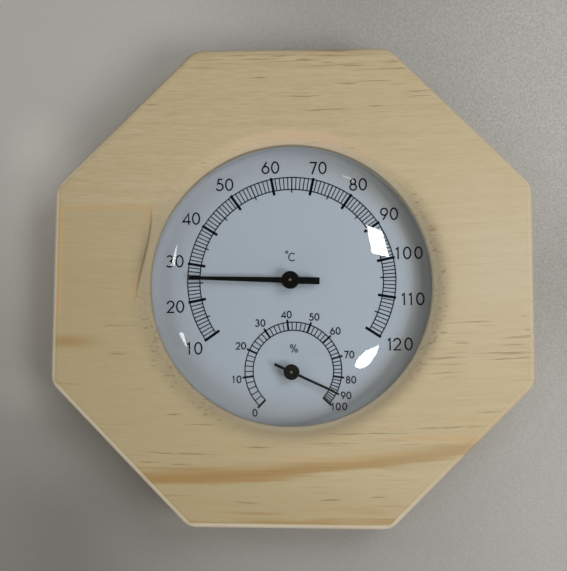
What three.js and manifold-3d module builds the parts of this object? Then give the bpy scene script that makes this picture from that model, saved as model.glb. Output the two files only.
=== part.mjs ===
// A wall thermo-hygrometer: an octagonal pine frame that holds a round dial behind a domed glass.
// The dial carries two movements. A bimetal coil turns the large pointer, for temperature, and a
// moisture-sensitive coil turns the small one, for humidity. Each coil is clamped at its outer end to a
// bracket behind the dial and at its inner end to an arbor, which runs in a bush in the dial and in the
// bracket's rear arm. A moulded cover closes the back and clamps dial, spacer and glass against the lip
// of the frame. A keyhole plate at the top of the back takes the head of a nail.
//
// Millimetres. +X is to the right of someone who reads the dial, +Z is up and -Y points at the reader.
// The wall is the plane y = 0, and the origin is where the nail's shank carries the plate.
// "Depth" is measured into the frame from its front face.

import * as THREE from 'three';
import { mergeVertices } from 'three/addons/utils/BufferGeometryUtils.js';
import Module from 'manifold-3d';

const wasm = await Module();
wasm.setup();

// Clearances.
const restGap = 0.3; // between faces that rest on each other
const fitGap = 0.1; // round a part pressed or screwed into another
const runningGap = 0.08; // round a shaft in its bearing
const cutMargin = 2; // how far a cutter reaches past the face it cuts

// Wooden frame.
const sightRadius = 50.2; // of the opening that shows the dial
const borderWidth = 34.8; // from the opening to the flats of the octagon
const cornerRadius = 7;
const frontEdgeRadius = 2.1;
const backEdgeRadius = 0.8;
const shoulderWidth = 5.8;
const shoulderRadius = 7.2;
const lipLand = 2.558; // straight wall of the opening, behind the shoulder
const lipWidth = 2.2; // how far the lip covers the glass
const coverLedge = 8.2; // wood that the cover's flange lies on
const coverInset = 0.5; // of the cover below the back of the frame
const acrossFlats = 2 * (sightRadius + borderWidth);
const rebateRadius = sightRadius + lipWidth;
const coverSeatRadius = rebateRadius + coverLedge;

// Glass, spacer and dial.
const glassThickness = 2;
const glassRise = 8.8;
const glassRimWidth = 1.4;
const rebateClearance = 0.4;
const seatedRadius = rebateRadius - rebateClearance;
const spacerHeight = 2.7;
const spacerSightClearance = 0.2;
const dialThickness = 0.8;
const dialTurn = THREE.MathUtils.degToRad(1); // anticlockwise, as the dial sits in its frame
const axesAside = -0.215; // of both pointers' axes, from the middle of the dial

// Back cover.
const coverThickness = 2;
const coverClearance = 0.5;
const coverRimWidth = 1.6;
const coverEdgeRadius = 0.6;
const ventWidth = 2.4;
const ventPitch = 6;
const ventRows = 9;
const ventFieldRadius = 30;
const ventFieldDrop = 15; // below the middle of the frame, between the two coils
const coverRadius = coverSeatRadius - coverClearance;
const coverScrewRadius = (seatedRadius + coverRadius) / 2;
const coverScrews = 4;
const movementRoom = 0.43; // between the rearmost pin head and the cover

// Screws: countersunk, with a cross recess.
const coverScrew = { headRadius: 2.9, shankRadius: 1.35, length: 10, headLand: 0.25, recessReach: 1.7 };
const hangerScrew = { headRadius: 2.3, shankRadius: 1.1, length: 8, headLand: 0.2, recessReach: 1.35 };
const recessWidth = 0.6;
const recessDepth = 0.8;
const screwTipLength = 2.5;
const pilotSpare = 1;

// Keyhole hanger.
const nailRadius = 2; // the thickest nail that fits
const nailHeadRadius = 4.2;
const nailClearance = 0.3;
const keyholeDrop = 4.4; // from the nail's seat down to the middle of the mouth
const keyholeRadius = nailHeadRadius + nailClearance;
const keyholeSlotRadius = nailRadius + nailClearance;
const pocketSide = 3; // room beside the mouth
const pocketHalfWidth = keyholeRadius + pocketSide;
const pocketDepth = 8;
const pocketCornerRadius = 3;
const hangerLand = 0.95; // plate above and below the pocket
const hangerWidth = 40;
const hangerHeight = keyholeDrop + 2 * (keyholeRadius + hangerLand);
const hangerThickness = 1.2;
const hangerCornerRadius = 3;
const hangerScrewInset = 6;
const hangerScrewSpacing = hangerWidth - 2 * hangerScrewInset;
const hangerMiddle = (coverSeatRadius + acrossFlats / 2) / 2; // halfway over the border of bare wood
const hangHeight = hangerMiddle + keyholeDrop / 2; // nail seat above the middle of the frame

// Movements. Angles are clockwise from straight up on the dial, in degrees.
const bearings = {
  bushFlangeRadius: 2.6,
  bushFlangeThickness: 0.5,
  bushRadius: 1.7,
  nutAcrossFlats: 5.5,
  nutThickness: 1.1,
  arborRadius: 0.65,
  arborTail: 0.5,
  bracketThickness: 0.8,
  bracketWidth: 8,
  bracketEnd: 5,
  bracketBend: 1.4,
  colletRadius: 1.8,
  pinRadius: 0.7,
  pinHeadRadius: 1.2,
  pinHeadHeight: 0.4,
};
const thermometer = {
  name: 'thermo',
  axisHeight: 1.87,
  restAngle: -87.6,
  coil: { innerRadius: 2.2, pitch: 1.75, turns: 5.5, strip: 0.4, width: 3.4 },
  pointer: {
    reach: 36.8, rootWidth: 2.05, tipWidth: 1.1, eyeRadius: 2.9,
    tailReach: 10.5, tailWidth: 2.5, thickness: 0.4, height: 3,
  },
  hub: { radius: 3.2, thickness: 1.6, bossRadius: 1.6, edgeRadius: 0.5, eyeDepth: 0.3 },
};
const hygrometer = {
  name: 'hygro',
  axisHeight: -31,
  restAngle: 115.3,
  coil: { innerRadius: 2.2, pitch: 1.3, turns: 5, strip: 0.35, width: 3 },
  pointer: {
    reach: 16.6, rootWidth: 0.9, tipWidth: 0.8, eyeRadius: 2.4,
    tailReach: 6.8, tailWidth: 1.05, thickness: 0.4, height: 2.6,
  },
  hub: { radius: 2.8, thickness: 1.5, bossRadius: 1.5, edgeRadius: 0.5, eyeDepth: 0.3 },
};

// Facets.
const bigCircle = 64;
const smallCircle = 20;
const cornerSteps = 5;
const shoulderSteps = 5;
const edgeSteps = 3;
const glassSteps = 6;
const outlineSteps = 2;
const fineOutlineSteps = 6;
const coilStepsPerTurn = 20;

// Depths of the stack, from the frame's front face to its back, each worked out from the piece before it.
const shoulderSlope = Math.asin(shoulderWidth / shoulderRadius);
const shoulderDepth = shoulderRadius * (1 - Math.cos(shoulderSlope));
const lipDepth = shoulderDepth + lipLand;
const glassOuterCurve = (sightRadius ** 2 + glassRise ** 2) / (2 * glassRise);
const glassInnerCurve = glassOuterCurve - glassThickness;
const glassApexDepth = lipDepth + restGap - glassRise;
const glassLandRadius = seatedRadius - glassRimWidth;
const glassRimDepth = glassApexDepth + glassThickness + sagitta(glassInnerCurve, glassLandRadius);
const spacerFront = glassRimDepth + restGap;
const dialFront = spacerFront + spacerHeight + restGap;
const dialBack = dialFront + dialThickness;
const rearmost = Math.max(...[thermometer, hygrometer].map((spec) => movementDepths(spec).pinBack));
const coverFront = rearmost + movementRoom;
const coverSeat = coverFront - restGap;
const coverBack = coverFront + coverThickness;
const frameThickness = coverBack + coverInset;

const finishes = {
  pine: { color: 0xc9b083, roughness: 0.62, metalness: 0 },
  glass: { color: 0xdfe8e6, roughness: 0.05, metalness: 0, transparent: true, opacity: 0.25 },
  paleGrey: { color: 0xc9cdd2, roughness: 0.5, metalness: 0 },
  dialWhite: { color: 0xd6dbe2, roughness: 0.4, metalness: 0.1 },
  mattBlack: { color: 0x131211, roughness: 0.55, metalness: 0.1 },
  blackMoulding: { color: 0x1f2022, roughness: 0.6, metalness: 0 },
  brass: { color: 0xb08d4a, roughness: 0.35, metalness: 1 },
  zincedSteel: { color: 0xb4b6b8, roughness: 0.35, metalness: 1 },
  bimetal: { color: 0x8f8577, roughness: 0.4, metalness: 1 },
  steel: { color: 0x9a9490, roughness: 0.3, metalness: 1 },
};

// Height of a sphere's cap of the given radius of curve, out to the given radius.
function sagitta(curve, radius) {
  return curve - Math.sqrt(curve ** 2 - radius ** 2);
}

// A depth below the frame's front face, as a y coordinate.
function atDepth(depth) {
  return depth - frameThickness;
}

// A closed triangle mesh as a solid: vertices shared, triangles of no area left out, faces pointing out.
function solidOf(geometry) {
  const bare = geometry.clone();
  bare.deleteAttribute('normal');
  bare.deleteAttribute('uv');
  const merged = mergeVertices(bare);
  const vertProperties = new Float32Array(merged.attributes.position.array);
  const corners = merged.index.array;
  const kept = [];
  for (let i = 0; i < corners.length; i += 3) {
    const [a, b, c] = corners.slice(i, i + 3);
    if (a !== b && b !== c && c !== a) kept.push(a, b, c);
  }
  const triVerts = new Uint32Array(signedVolume(vertProperties, kept) < 0 ? kept.reverse() : kept);
  return new wasm.Manifold(new wasm.Mesh({ numProp: 3, vertProperties, triVerts }));
}

function signedVolume(positions, corners) {
  const point = (i) => new THREE.Vector3().fromArray(positions, 3 * i);
  let volume = 0;
  for (let i = 0; i < corners.length; i += 3) {
    const [a, b, c] = [point(corners[i]), point(corners[i + 1]), point(corners[i + 2])];
    volume += a.dot(b.cross(c)) / 6;
  }
  return volume;
}

// A solid as a mesh under its name, in one of the finishes.
function piece(name, solid, finish) {
  const { vertProperties, triVerts } = solid.getMesh();
  const geometry = new THREE.BufferGeometry();
  geometry.setAttribute('position', new THREE.BufferAttribute(vertProperties, 3));
  geometry.setIndex(new THREE.BufferAttribute(triVerts, 1));
  geometry.computeVertexNormals();
  const mesh = new THREE.Mesh(geometry, new THREE.MeshStandardMaterial(finishes[finish]));
  mesh.name = name;
  return mesh;
}

// A turned solid about the y axis. The profile is a list of [radius, y].
function turned(profile, facets) {
  return solidOf(new THREE.LatheGeometry(profile.map(([r, y]) => new THREE.Vector2(r, y)), facets));
}

// A ring of rectangular section.
function ring(innerRadius, outerRadius, yFrom, yTo, facets) {
  return turned([
    [innerRadius, yFrom], [outerRadius, yFrom], [outerRadius, yTo], [innerRadius, yTo], [innerRadius, yFrom],
  ], facets);
}

function disc(radius, yFrom, yTo, facets) {
  return turned([[0, yFrom], [radius, yFrom], [radius, yTo], [0, yTo]], facets);
}

// A plate that lies in the plane of the dial: the shape's x is x, its y is z.
function plate(shape, yFrom, yTo, curveSegments = outlineSteps) {
  const depth = yTo - yFrom;
  const geometry = new THREE.ExtrudeGeometry(shape, { depth, bevelEnabled: false, curveSegments });
  geometry.rotateX(Math.PI / 2);
  geometry.translate(0, yTo, 0);
  return solidOf(geometry);
}

// Points of a quarter round or other arc, with both ends.
function arc(centreX, centreY, radius, from, to, steps) {
  return Array.from({ length: steps + 1 }, (_, i) => {
    const angle = from + (to - from) * i / steps;
    return [centreX + radius * Math.cos(angle), centreY + radius * Math.sin(angle)];
  });
}

function roundedRectangle(halfWidth, low, high, radius) {
  const shape = new THREE.Shape();
  shape.absarc(halfWidth - radius, low + radius, radius, -Math.PI / 2, 0);
  shape.absarc(halfWidth - radius, high - radius, radius, 0, Math.PI / 2);
  shape.absarc(-halfWidth + radius, high - radius, radius, Math.PI / 2, Math.PI);
  shape.absarc(-halfWidth + radius, low + radius, radius, Math.PI, 1.5 * Math.PI);
  shape.closePath();
  return shape;
}

// The outline of the frame, drawn in by an inset, as x and z.
function octagon(inset) {
  const apothem = acrossFlats / 2 - inset;
  const radius = cornerRadius - inset;
  const cornerDistance = (apothem - radius) / Math.cos(Math.PI / 8);
  return Array.from({ length: 8 }, (_, side) => {
    const middle = Math.PI / 8 + side * Math.PI / 4;
    return arc(cornerDistance * Math.cos(middle), cornerDistance * Math.sin(middle), radius,
      middle - Math.PI / 8, middle + Math.PI / 8, cornerSteps);
  }).flat();
}

// A convex solid skinned over outlines of equal point counts, each at its own y, closed by flat ends.
function skinned(sections) {
  const count = sections[0].outline.length;
  const positions = sections.flatMap(({ outline, y }) => outline.flatMap(([x, z]) => [x, y, z]));
  const corners = [];
  for (let row = 0; row + 1 < sections.length; row++) {
    for (let i = 0; i < count; i++) {
      const next = (i + 1) % count;
      const [a, b] = [row * count + i, row * count + next];
      corners.push(a, b, b + count, a, b + count, a + count);
    }
  }
  const last = (sections.length - 1) * count;
  for (let i = 1; i + 1 < count; i++) {
    corners.push(0, i + 1, i, last, last + i, last + i + 1);
  }
  const geometry = new THREE.BufferGeometry();
  geometry.setAttribute('position', new THREE.Float32BufferAttribute(positions, 3));
  geometry.setIndex(corners);
  return solidOf(geometry);
}

// Sections of a rounded edge, from a face at y to the full outline.
function roundedEdge(radius, yFace, inwards) {
  return Array.from({ length: edgeSteps + 1 }, (_, i) => {
    const angle = Math.PI / 2 * i / edgeSteps;
    return {
      outline: octagon(radius * (1 - Math.sin(angle))),
      y: yFace + inwards * radius * (1 - Math.cos(angle)),
    };
  });
}

// The frame's bore: the rounded shoulder in front, the lip, the rebate and the seat of the cover.
function boreCutter() {
  const outer = sightRadius + shoulderWidth;
  const turn = arc(outer, atDepth(shoulderRadius), shoulderRadius,
    -Math.PI / 2, -Math.PI / 2 - shoulderSlope, shoulderSteps);
  return turned([
    [0, atDepth(-cutMargin)], [outer, atDepth(-cutMargin)],
    ...turn,
    [sightRadius, atDepth(lipDepth)], [rebateRadius, atDepth(lipDepth)],
    [rebateRadius, atDepth(coverSeat)], [coverSeatRadius, atDepth(coverSeat)],
    [coverSeatRadius, cutMargin], [0, cutMargin],
  ], bigCircle);
}

// Where the cover's screws stand, as x and z.
function coverScrewPlaces() {
  return Array.from({ length: coverScrews }, (_, i) => {
    const angle = Math.PI / 4 + i * 2 * Math.PI / coverScrews;
    return [coverScrewRadius * Math.cos(angle), coverScrewRadius * Math.sin(angle)];
  });
}

function hangerScrewPlaces() {
  return [[-hangerScrewSpacing / 2, hangerMiddle], [hangerScrewSpacing / 2, hangerMiddle]];
}

function hangerOutline(clearance) {
  const half = hangerHeight / 2 + clearance;
  return roundedRectangle(hangerWidth / 2 + clearance, hangerMiddle - half, hangerMiddle + half,
    hangerCornerRadius + clearance);
}

// A blind hole for a screw whose head ends at yHead.
function pilotHole(screw, yHead, [x, z]) {
  return disc(screw.shankRadius + restGap, yHead - screw.length - pilotSpare, yHead, smallCircle)
    .translate([x, 0, z]);
}

function woodFrame() {
  const front = roundedEdge(frontEdgeRadius, -frameThickness, 1);
  const back = roundedEdge(backEdgeRadius, 0, -1).reverse();
  const hangerRecess = plate(hangerOutline(restGap), -hangerThickness - restGap, cutMargin);
  const pocketOutline = roundedRectangle(pocketHalfWidth, hangHeight - keyholeDrop - keyholeRadius,
    hangHeight + keyholeRadius, pocketCornerRadius);
  const pocket = plate(pocketOutline, -pocketDepth, cutMargin);
  let frame = skinned([...front, ...back]).subtract(boreCutter()).subtract(hangerRecess).subtract(pocket);
  for (const place of coverScrewPlaces()) {
    frame = frame.subtract(pilotHole(coverScrew, atDepth(coverBack), place));
  }
  for (const place of hangerScrewPlaces()) {
    frame = frame.subtract(pilotHole(hangerScrew, 0, place));
  }
  return piece('wood_frame', frame, 'pine');
}

// A spherical cap of even thickness, with its edge ground square and a flat land to sit on.
function domedGlass() {
  const outerCentre = atDepth(glassApexDepth + glassOuterCurve);
  const outerEdge = Math.asin(seatedRadius / glassOuterCurve);
  const innerEdge = Math.asin(glassLandRadius / glassInnerCurve);
  const outside = arc(0, outerCentre, glassOuterCurve, -Math.PI / 2, -Math.PI / 2 + outerEdge, glassSteps);
  const inside = arc(0, outerCentre, glassInnerCurve, -Math.PI / 2 + innerEdge, -Math.PI / 2, glassSteps);
  outside[0][0] = 0;
  inside[glassSteps][0] = 0;
  const profile = [...outside, [seatedRadius, atDepth(glassRimDepth)], ...inside];
  return piece('domed_glass', turned(profile, bigCircle), 'glass');
}

function spacerRing() {
  return piece('spacer_ring', ring(sightRadius + spacerSightClearance, seatedRadius,
    atDepth(spacerFront), atDepth(spacerFront + spacerHeight), bigCircle), 'paleGrey');
}

function dialPlate() {
  let dial = disc(seatedRadius, atDepth(dialFront), atDepth(dialBack), bigCircle);
  for (const { axisHeight } of [thermometer, hygrometer]) {
    dial = dial.subtract(disc(bearings.bushRadius + fitGap, atDepth(dialFront - cutMargin),
      atDepth(dialBack + cutMargin), smallCircle).translate([axesAside, 0, axisHeight]));
  }
  return piece('dial_plate', dial, 'dialWhite');
}

// A countersunk hole right through, for a head that ends at yHead.
function countersink(screw, yHead, [x, z]) {
  const headRadius = screw.headRadius + restGap;
  const holeRadius = screw.shankRadius + restGap;
  const coneEnd = yHead - (headRadius - holeRadius);
  return turned([
    [0, yHead - screw.length], [holeRadius, yHead - screw.length], [holeRadius, coneEnd],
    [headRadius, yHead], [headRadius, yHead + cutMargin], [0, yHead + cutMargin],
  ], smallCircle).translate([x, 0, z]);
}

// A round disc with slots to let the room's air in, and a rim that clamps the dial.
function backCover() {
  const [front, back] = [atDepth(coverFront), atDepth(coverBack)];
  const edge = arc(coverRadius - coverEdgeRadius, back - coverEdgeRadius, coverEdgeRadius,
    0, Math.PI / 2, edgeSteps);
  const rim = ring(seatedRadius - coverRimWidth, seatedRadius, atDepth(dialBack + restGap),
    (front + back) / 2, bigCircle);
  let cover = turned([[0, front], [coverRadius, front], ...edge, [0, back]], bigCircle).add(rim);
  for (let row = 0; row < ventRows; row++) {
    const height = (row - (ventRows - 1) / 2) * ventPitch;
    const halfLength = Math.sqrt(ventFieldRadius ** 2 - height ** 2);
    const slot = roundedRectangle(halfLength, height - ventWidth / 2, height + ventWidth / 2, ventWidth / 2);
    cover = cover.subtract(plate(slot, front - cutMargin, cutMargin).translate([0, 0, -ventFieldDrop]));
  }
  for (const place of coverScrewPlaces()) {
    cover = cover.subtract(countersink(coverScrew, back, place));
  }
  return piece('back_cover', cover, 'blackMoulding');
}

// A countersunk wood screw whose head faces the wall and ends at yHead.
function woodScrew(name, screw, yHead, [x, z]) {
  const coneEnd = yHead - screw.headLand - (screw.headRadius - screw.shankRadius);
  const tip = yHead - screw.length;
  let body = turned([
    [0, tip], [screw.shankRadius, tip + screwTipLength], [screw.shankRadius, coneEnd],
    [screw.headRadius, yHead - screw.headLand], [screw.headRadius, yHead], [0, yHead],
  ], smallCircle);
  for (const turn of [0, Math.PI / 2]) {
    const blade = new THREE.BoxGeometry(2 * screw.recessReach, 2 * recessDepth, recessWidth);
    blade.rotateY(turn);
    blade.translate(0, yHead, 0);
    body = body.subtract(solidOf(blade));
  }
  const mesh = piece(name, body, 'zincedSteel');
  mesh.position.set(x, 0, z);
  return mesh;
}

function hangerPlate() {
  const outline = hangerOutline(0);
  const mouth = hangHeight - keyholeDrop;
  const shoulder = Math.asin(keyholeSlotRadius / keyholeRadius);
  const keyhole = new THREE.Path();
  keyhole.absarc(0, mouth, keyholeRadius, Math.PI / 2 + shoulder, 2.5 * Math.PI - shoulder);
  keyhole.absarc(0, hangHeight, keyholeSlotRadius, 0, Math.PI);
  keyhole.closePath();
  outline.holes.push(keyhole);
  let hanger = plate(outline, -hangerThickness, 0, fineOutlineSteps);
  for (const place of hangerScrewPlaces()) {
    hanger = hanger.subtract(countersink(hangerScrew, 0, place));
  }
  return piece('hanger_plate', hanger, 'zincedSteel');
}

// The depths along an arbor, from the pointer to the end of the rear bearing.
function movementDepths({ coil, pointer, hub }) {
  const b = bearings;
  const bladeFront = dialFront - pointer.height - pointer.thickness;
  const bushFront = dialFront - restGap - b.bushFlangeThickness;
  const bracketFront = dialBack + restGap;
  const nutFront = bracketFront + b.bracketThickness + restGap;
  const bushBack = nutFront + b.nutThickness + restGap;
  const coilFront = bushBack + 2 * restGap;
  const coilBack = coilFront + coil.width;
  const armFront = coilBack + 2 * restGap;
  const armBack = armFront + b.bracketThickness;
  const pinHeadFront = armBack + restGap;
  return {
    bladeFront,
    hubFront: bladeFront - restGap - hub.thickness,
    bushFront,
    bracketFront,
    nutFront,
    bushBack,
    coilFront,
    coilBack,
    armFront,
    armBack,
    arborBack: armBack + b.arborTail,
    pinHeadFront,
    pinBack: pinHeadFront + b.pinHeadHeight,
  };
}

// The dial's flanged bush, which is also the front bearing.
function bush(name, depths) {
  const b = bearings;
  const bore = b.arborRadius + runningGap;
  const flangeBack = depths.bushFront + b.bushFlangeThickness;
  return piece(`${name}_bush`, turned([
    [bore, atDepth(depths.bushFront)], [b.bushFlangeRadius, atDepth(depths.bushFront)],
    [b.bushFlangeRadius, atDepth(flangeBack)], [b.bushRadius, atDepth(flangeBack)],
    [b.bushRadius, atDepth(depths.bushBack)], [bore, atDepth(depths.bushBack)],
    [bore, atDepth(depths.bushFront)],
  ], smallCircle), 'brass');
}

// The hexagon nut that clamps the bracket and the dial between itself and the bush's flange.
function bushNut(name, depths) {
  const b = bearings;
  const [front, back] = [atDepth(depths.nutFront), atDepth(depths.nutFront + b.nutThickness)];
  const hexagon = disc(b.nutAcrossFlats / Math.sqrt(3), front, back, 6);
  const hole = disc(b.bushRadius + fitGap, front - cutMargin, back + cutMargin, smallCircle);
  return piece(`${name}_bush_nut`, hexagon.subtract(hole), 'brass');
}

// Radius of the coil's middle line at its outer end.
function coilReach({ innerRadius, pitch, turns, strip }) {
  return innerRadius + strip / 2 + pitch * turns;
}

// How far out the pin stands that holds the coil's outer end.
function pinDistance(coil) {
  return coilReach(coil) + coil.strip / 2 + restGap + bearings.pinRadius;
}

// A strip bent to a C: the front end under the nut, a leg past the coil, and an arm with the rear bearing.
function bracket({ name, coil }, depths) {
  const b = bearings;
  const inside = pinDistance(coil) + b.pinRadius + 2 * restGap;
  const outside = inside + b.bracketThickness;
  const [front, back] = [atDepth(depths.bracketFront), atDepth(depths.armBack)];
  const bendInside = b.bracketBend - b.bracketThickness;
  const outline = new THREE.Shape();
  outline.moveTo(-b.bracketEnd, front + b.bracketThickness);
  outline.lineTo(-b.bracketEnd, front);
  outline.absarc(outside - b.bracketBend, front + b.bracketBend, b.bracketBend, -Math.PI / 2, 0);
  outline.absarc(outside - b.bracketBend, back - b.bracketBend, b.bracketBend, 0, Math.PI / 2);
  outline.lineTo(-b.bracketEnd, back);
  outline.lineTo(-b.bracketEnd, back - b.bracketThickness);
  outline.absarc(inside - bendInside, back - b.bracketBend, bendInside, Math.PI / 2, 0, true);
  outline.absarc(inside - bendInside, front + b.bracketBend, bendInside, 0, -Math.PI / 2, true);
  outline.closePath();
  const strip = new THREE.ExtrudeGeometry(outline, {
    depth: b.bracketWidth, bevelEnabled: false, curveSegments: outlineSteps,
  });
  strip.translate(0, 0, -b.bracketWidth / 2);
  const hole = (radius, x, from, to) => (
    disc(radius, atDepth(from), atDepth(to), smallCircle).translate([x, 0, 0])
  );
  const between = (depths.nutFront + depths.armFront) / 2;
  const solid = solidOf(strip)
    .subtract(hole(b.bushRadius + fitGap, 0, depths.bracketFront - cutMargin, between))
    .subtract(hole(b.arborRadius + runningGap, 0, between, depths.armBack + cutMargin))
    .subtract(hole(b.pinRadius + fitGap, pinDistance(coil), between, depths.armBack + cutMargin));
  return piece(`${name}_bracket`, solid, 'zincedSteel');
}

// The pin in the bracket's arm that holds the outer end of the coil.
function coilPin({ name, coil }, depths) {
  const b = bearings;
  const [headFront, headBack] = [atDepth(depths.pinHeadFront), atDepth(depths.pinBack)];
  const mesh = piece(`${name}_coil_pin`, turned([
    [0, atDepth(depths.coilFront)], [b.pinRadius, atDepth(depths.coilFront)], [b.pinRadius, headFront],
    [b.pinHeadRadius, headFront], [b.pinHeadRadius, headBack], [0, headBack],
  ], smallCircle), 'steel');
  mesh.position.x = pinDistance(coil);
  return mesh;
}

// The flat spiral strip. Its radius grows evenly with the angle, and it ends beside the pin.
function coilStrip({ name, coil }, depths, finish) {
  const steps = Math.round(coil.turns * coilStepsPerTurn);
  const edge = (offset) => Array.from({ length: steps + 1 }, (_, i) => {
    const angle = 2 * Math.PI * coil.turns * (i / steps - 1);
    const radius = coilReach(coil) + coil.pitch * angle / (2 * Math.PI) + offset;
    return new THREE.Vector2(radius * Math.cos(angle), radius * Math.sin(angle));
  });
  const outline = new THREE.Shape([...edge(coil.strip / 2), ...edge(-coil.strip / 2).reverse()]);
  return piece(`${name}_coil`, plate(outline, atDepth(depths.coilFront), atDepth(depths.coilBack)), finish);
}

function collet(name, depths) {
  const b = bearings;
  return piece(`${name}_collet`, ring(b.arborRadius + fitGap, b.colletRadius,
    atDepth(depths.coilFront), atDepth(depths.coilBack), smallCircle), 'brass');
}

function arbor({ name, hub }, depths) {
  return piece(`${name}_arbor`, disc(bearings.arborRadius, atDepth(depths.hubFront + hub.eyeDepth),
    atDepth(depths.arborBack), smallCircle), 'steel');
}

// The cap that covers the pointer's eye, with a boss that reaches back along the arbor.
function pointerHub({ name, hub }, depths) {
  const bore = bearings.arborRadius + fitGap;
  const front = atDepth(depths.hubFront);
  const back = front + hub.thickness;
  const bossBack = atDepth(depths.bushFront - restGap);
  const edge = arc(hub.radius - hub.edgeRadius, front + hub.edgeRadius, hub.edgeRadius,
    -Math.PI / 2, 0, edgeSteps);
  return piece(`${name}_pointer_hub`, turned([
    [bore, front], ...edge, [hub.radius, back], [hub.bossRadius, back],
    [hub.bossRadius, bossBack], [bore, bossBack], [bore, front],
  ], smallCircle), 'mattBlack');
}

// A stamped pointer that points straight up: a tapered blade, a round eye and a square-ended tail.
function pointer({ name, pointer: p, hub }, depths) {
  const rootRise = Math.sqrt(p.eyeRadius ** 2 - (p.rootWidth / 2) ** 2);
  const tailDrop = Math.sqrt(p.eyeRadius ** 2 - (p.tailWidth / 2) ** 2);
  const rootAngle = Math.atan2(rootRise, p.rootWidth / 2);
  const tailAngle = Math.atan2(-tailDrop, p.tailWidth / 2);
  const outline = new THREE.Shape();
  outline.moveTo(-p.tailWidth / 2, -p.tailReach);
  outline.lineTo(p.tailWidth / 2, -p.tailReach);
  outline.absarc(0, 0, p.eyeRadius, tailAngle, rootAngle);
  outline.lineTo(p.tipWidth / 2, p.reach);
  outline.lineTo(-p.tipWidth / 2, p.reach);
  outline.absarc(0, 0, p.eyeRadius, Math.PI - rootAngle, Math.PI - tailAngle);
  outline.closePath();
  const eye = new THREE.Path();
  eye.absarc(0, 0, hub.bossRadius + restGap, 0, 2 * Math.PI);
  outline.holes.push(eye);
  const front = atDepth(depths.bladeFront);
  return piece(`${name}_pointer`, plate(outline, front, front + p.thickness, fineOutlineSteps), 'mattBlack');
}

// One movement on its axis, with its pointer turned to the reading at rest.
function movement(spec, coilFinish) {
  const depths = movementDepths(spec);
  const group = new THREE.Group();
  group.position.set(axesAside, 0, spec.axisHeight);
  group.add(
    bush(spec.name, depths), bushNut(spec.name, depths), bracket(spec, depths), coilPin(spec, depths),
    coilStrip(spec, depths, coilFinish),
  );
  const turning = new THREE.Group();
  turning.rotation.y = THREE.MathUtils.degToRad(spec.restAngle);
  turning.add(
    arbor(spec, depths), collet(spec.name, depths), pointerHub(spec, depths), pointer(spec, depths),
  );
  group.add(turning);
  return group;
}

const instrument = new THREE.Group();
instrument.rotation.y = -dialTurn;
instrument.add(dialPlate(), movement(thermometer, 'bimetal'), movement(hygrometer, 'brass'));

const group = new THREE.Group();
group.position.z = -hangHeight;
group.add(woodFrame(), domedGlass(), spacerRing(), instrument, backCover(), hangerPlate());
coverScrewPlaces().forEach((place, i) => {
  group.add(woodScrew(`cover_screw_${i + 1}`, coverScrew, atDepth(coverBack), place));
});
hangerScrewPlaces().forEach((place, i) => {
  group.add(woodScrew(`hanger_screw_${i + 1}`, hangerScrew, 0, place));
});

export default group;
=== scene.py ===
"""Looks of the wall thermo-hygrometer: an octagonal pine frame round one dial behind a domed glass.

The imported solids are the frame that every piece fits. Lengths are millimetres, and a mesh is brought
to metres when it is made. Depth is measured into the instrument from the front face of the wood, and
x and z are measured from the middle of the wood, as a reader sees them.
"""

import logging
import math
from abc import ABC, abstractmethod
from collections.abc import Sequence
from dataclasses import dataclass, field
from enum import Enum
from functools import partial, reduce
from typing import Union

import bpy
import numpy as np
from mathutils import Euler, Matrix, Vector


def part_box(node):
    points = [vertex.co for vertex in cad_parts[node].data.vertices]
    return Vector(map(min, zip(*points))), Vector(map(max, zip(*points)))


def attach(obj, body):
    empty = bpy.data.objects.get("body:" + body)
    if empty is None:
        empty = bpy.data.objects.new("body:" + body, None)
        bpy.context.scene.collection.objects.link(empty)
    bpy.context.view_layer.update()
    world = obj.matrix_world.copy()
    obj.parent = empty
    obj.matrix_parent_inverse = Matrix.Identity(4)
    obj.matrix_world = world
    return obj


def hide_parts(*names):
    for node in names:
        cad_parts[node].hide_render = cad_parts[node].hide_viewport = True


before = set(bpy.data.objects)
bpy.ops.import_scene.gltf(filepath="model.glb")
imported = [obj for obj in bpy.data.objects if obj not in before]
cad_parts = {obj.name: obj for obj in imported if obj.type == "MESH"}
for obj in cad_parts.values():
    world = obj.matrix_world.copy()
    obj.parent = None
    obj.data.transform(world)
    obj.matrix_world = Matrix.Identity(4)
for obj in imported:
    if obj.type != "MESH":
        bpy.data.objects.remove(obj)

logging.basicConfig(level=logging.INFO, format="%(message)s")
log = logging.getLogger("thermo_hygrometer")

MM = 0.001
FULL_TURN = 2 * math.pi
SAME_PLACE = 1e-9  # points closer than this are one
PAST = 1.0  # how far a cutter goes past the face that it cuts
FRAME_LOW, FRAME_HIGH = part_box("wood_frame")
FRONT = FRAME_LOW.y / MM  # y of the wood's front face
MIDDLE = (FRAME_LOW.z + FRAME_HIGH.z) / 2 / MM  # z of the middle of the wood
CASE, THERMO, HYGRO = "case", "thermo_movement", "hygro_movement"

Point = tuple[float, float]
Triple = tuple[float, float, float]
Span = tuple[float, float, float, float]
Colour = Triple
Socket = bpy.types.NodeSocket
Input = Union[Socket, float, Sequence[float]]
Pair = tuple[Socket, Socket]
Values = dict[str | int, Input]
Word = tuple[str, Point, float]  # figures, place and width of the strokes


# Shapes


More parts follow.
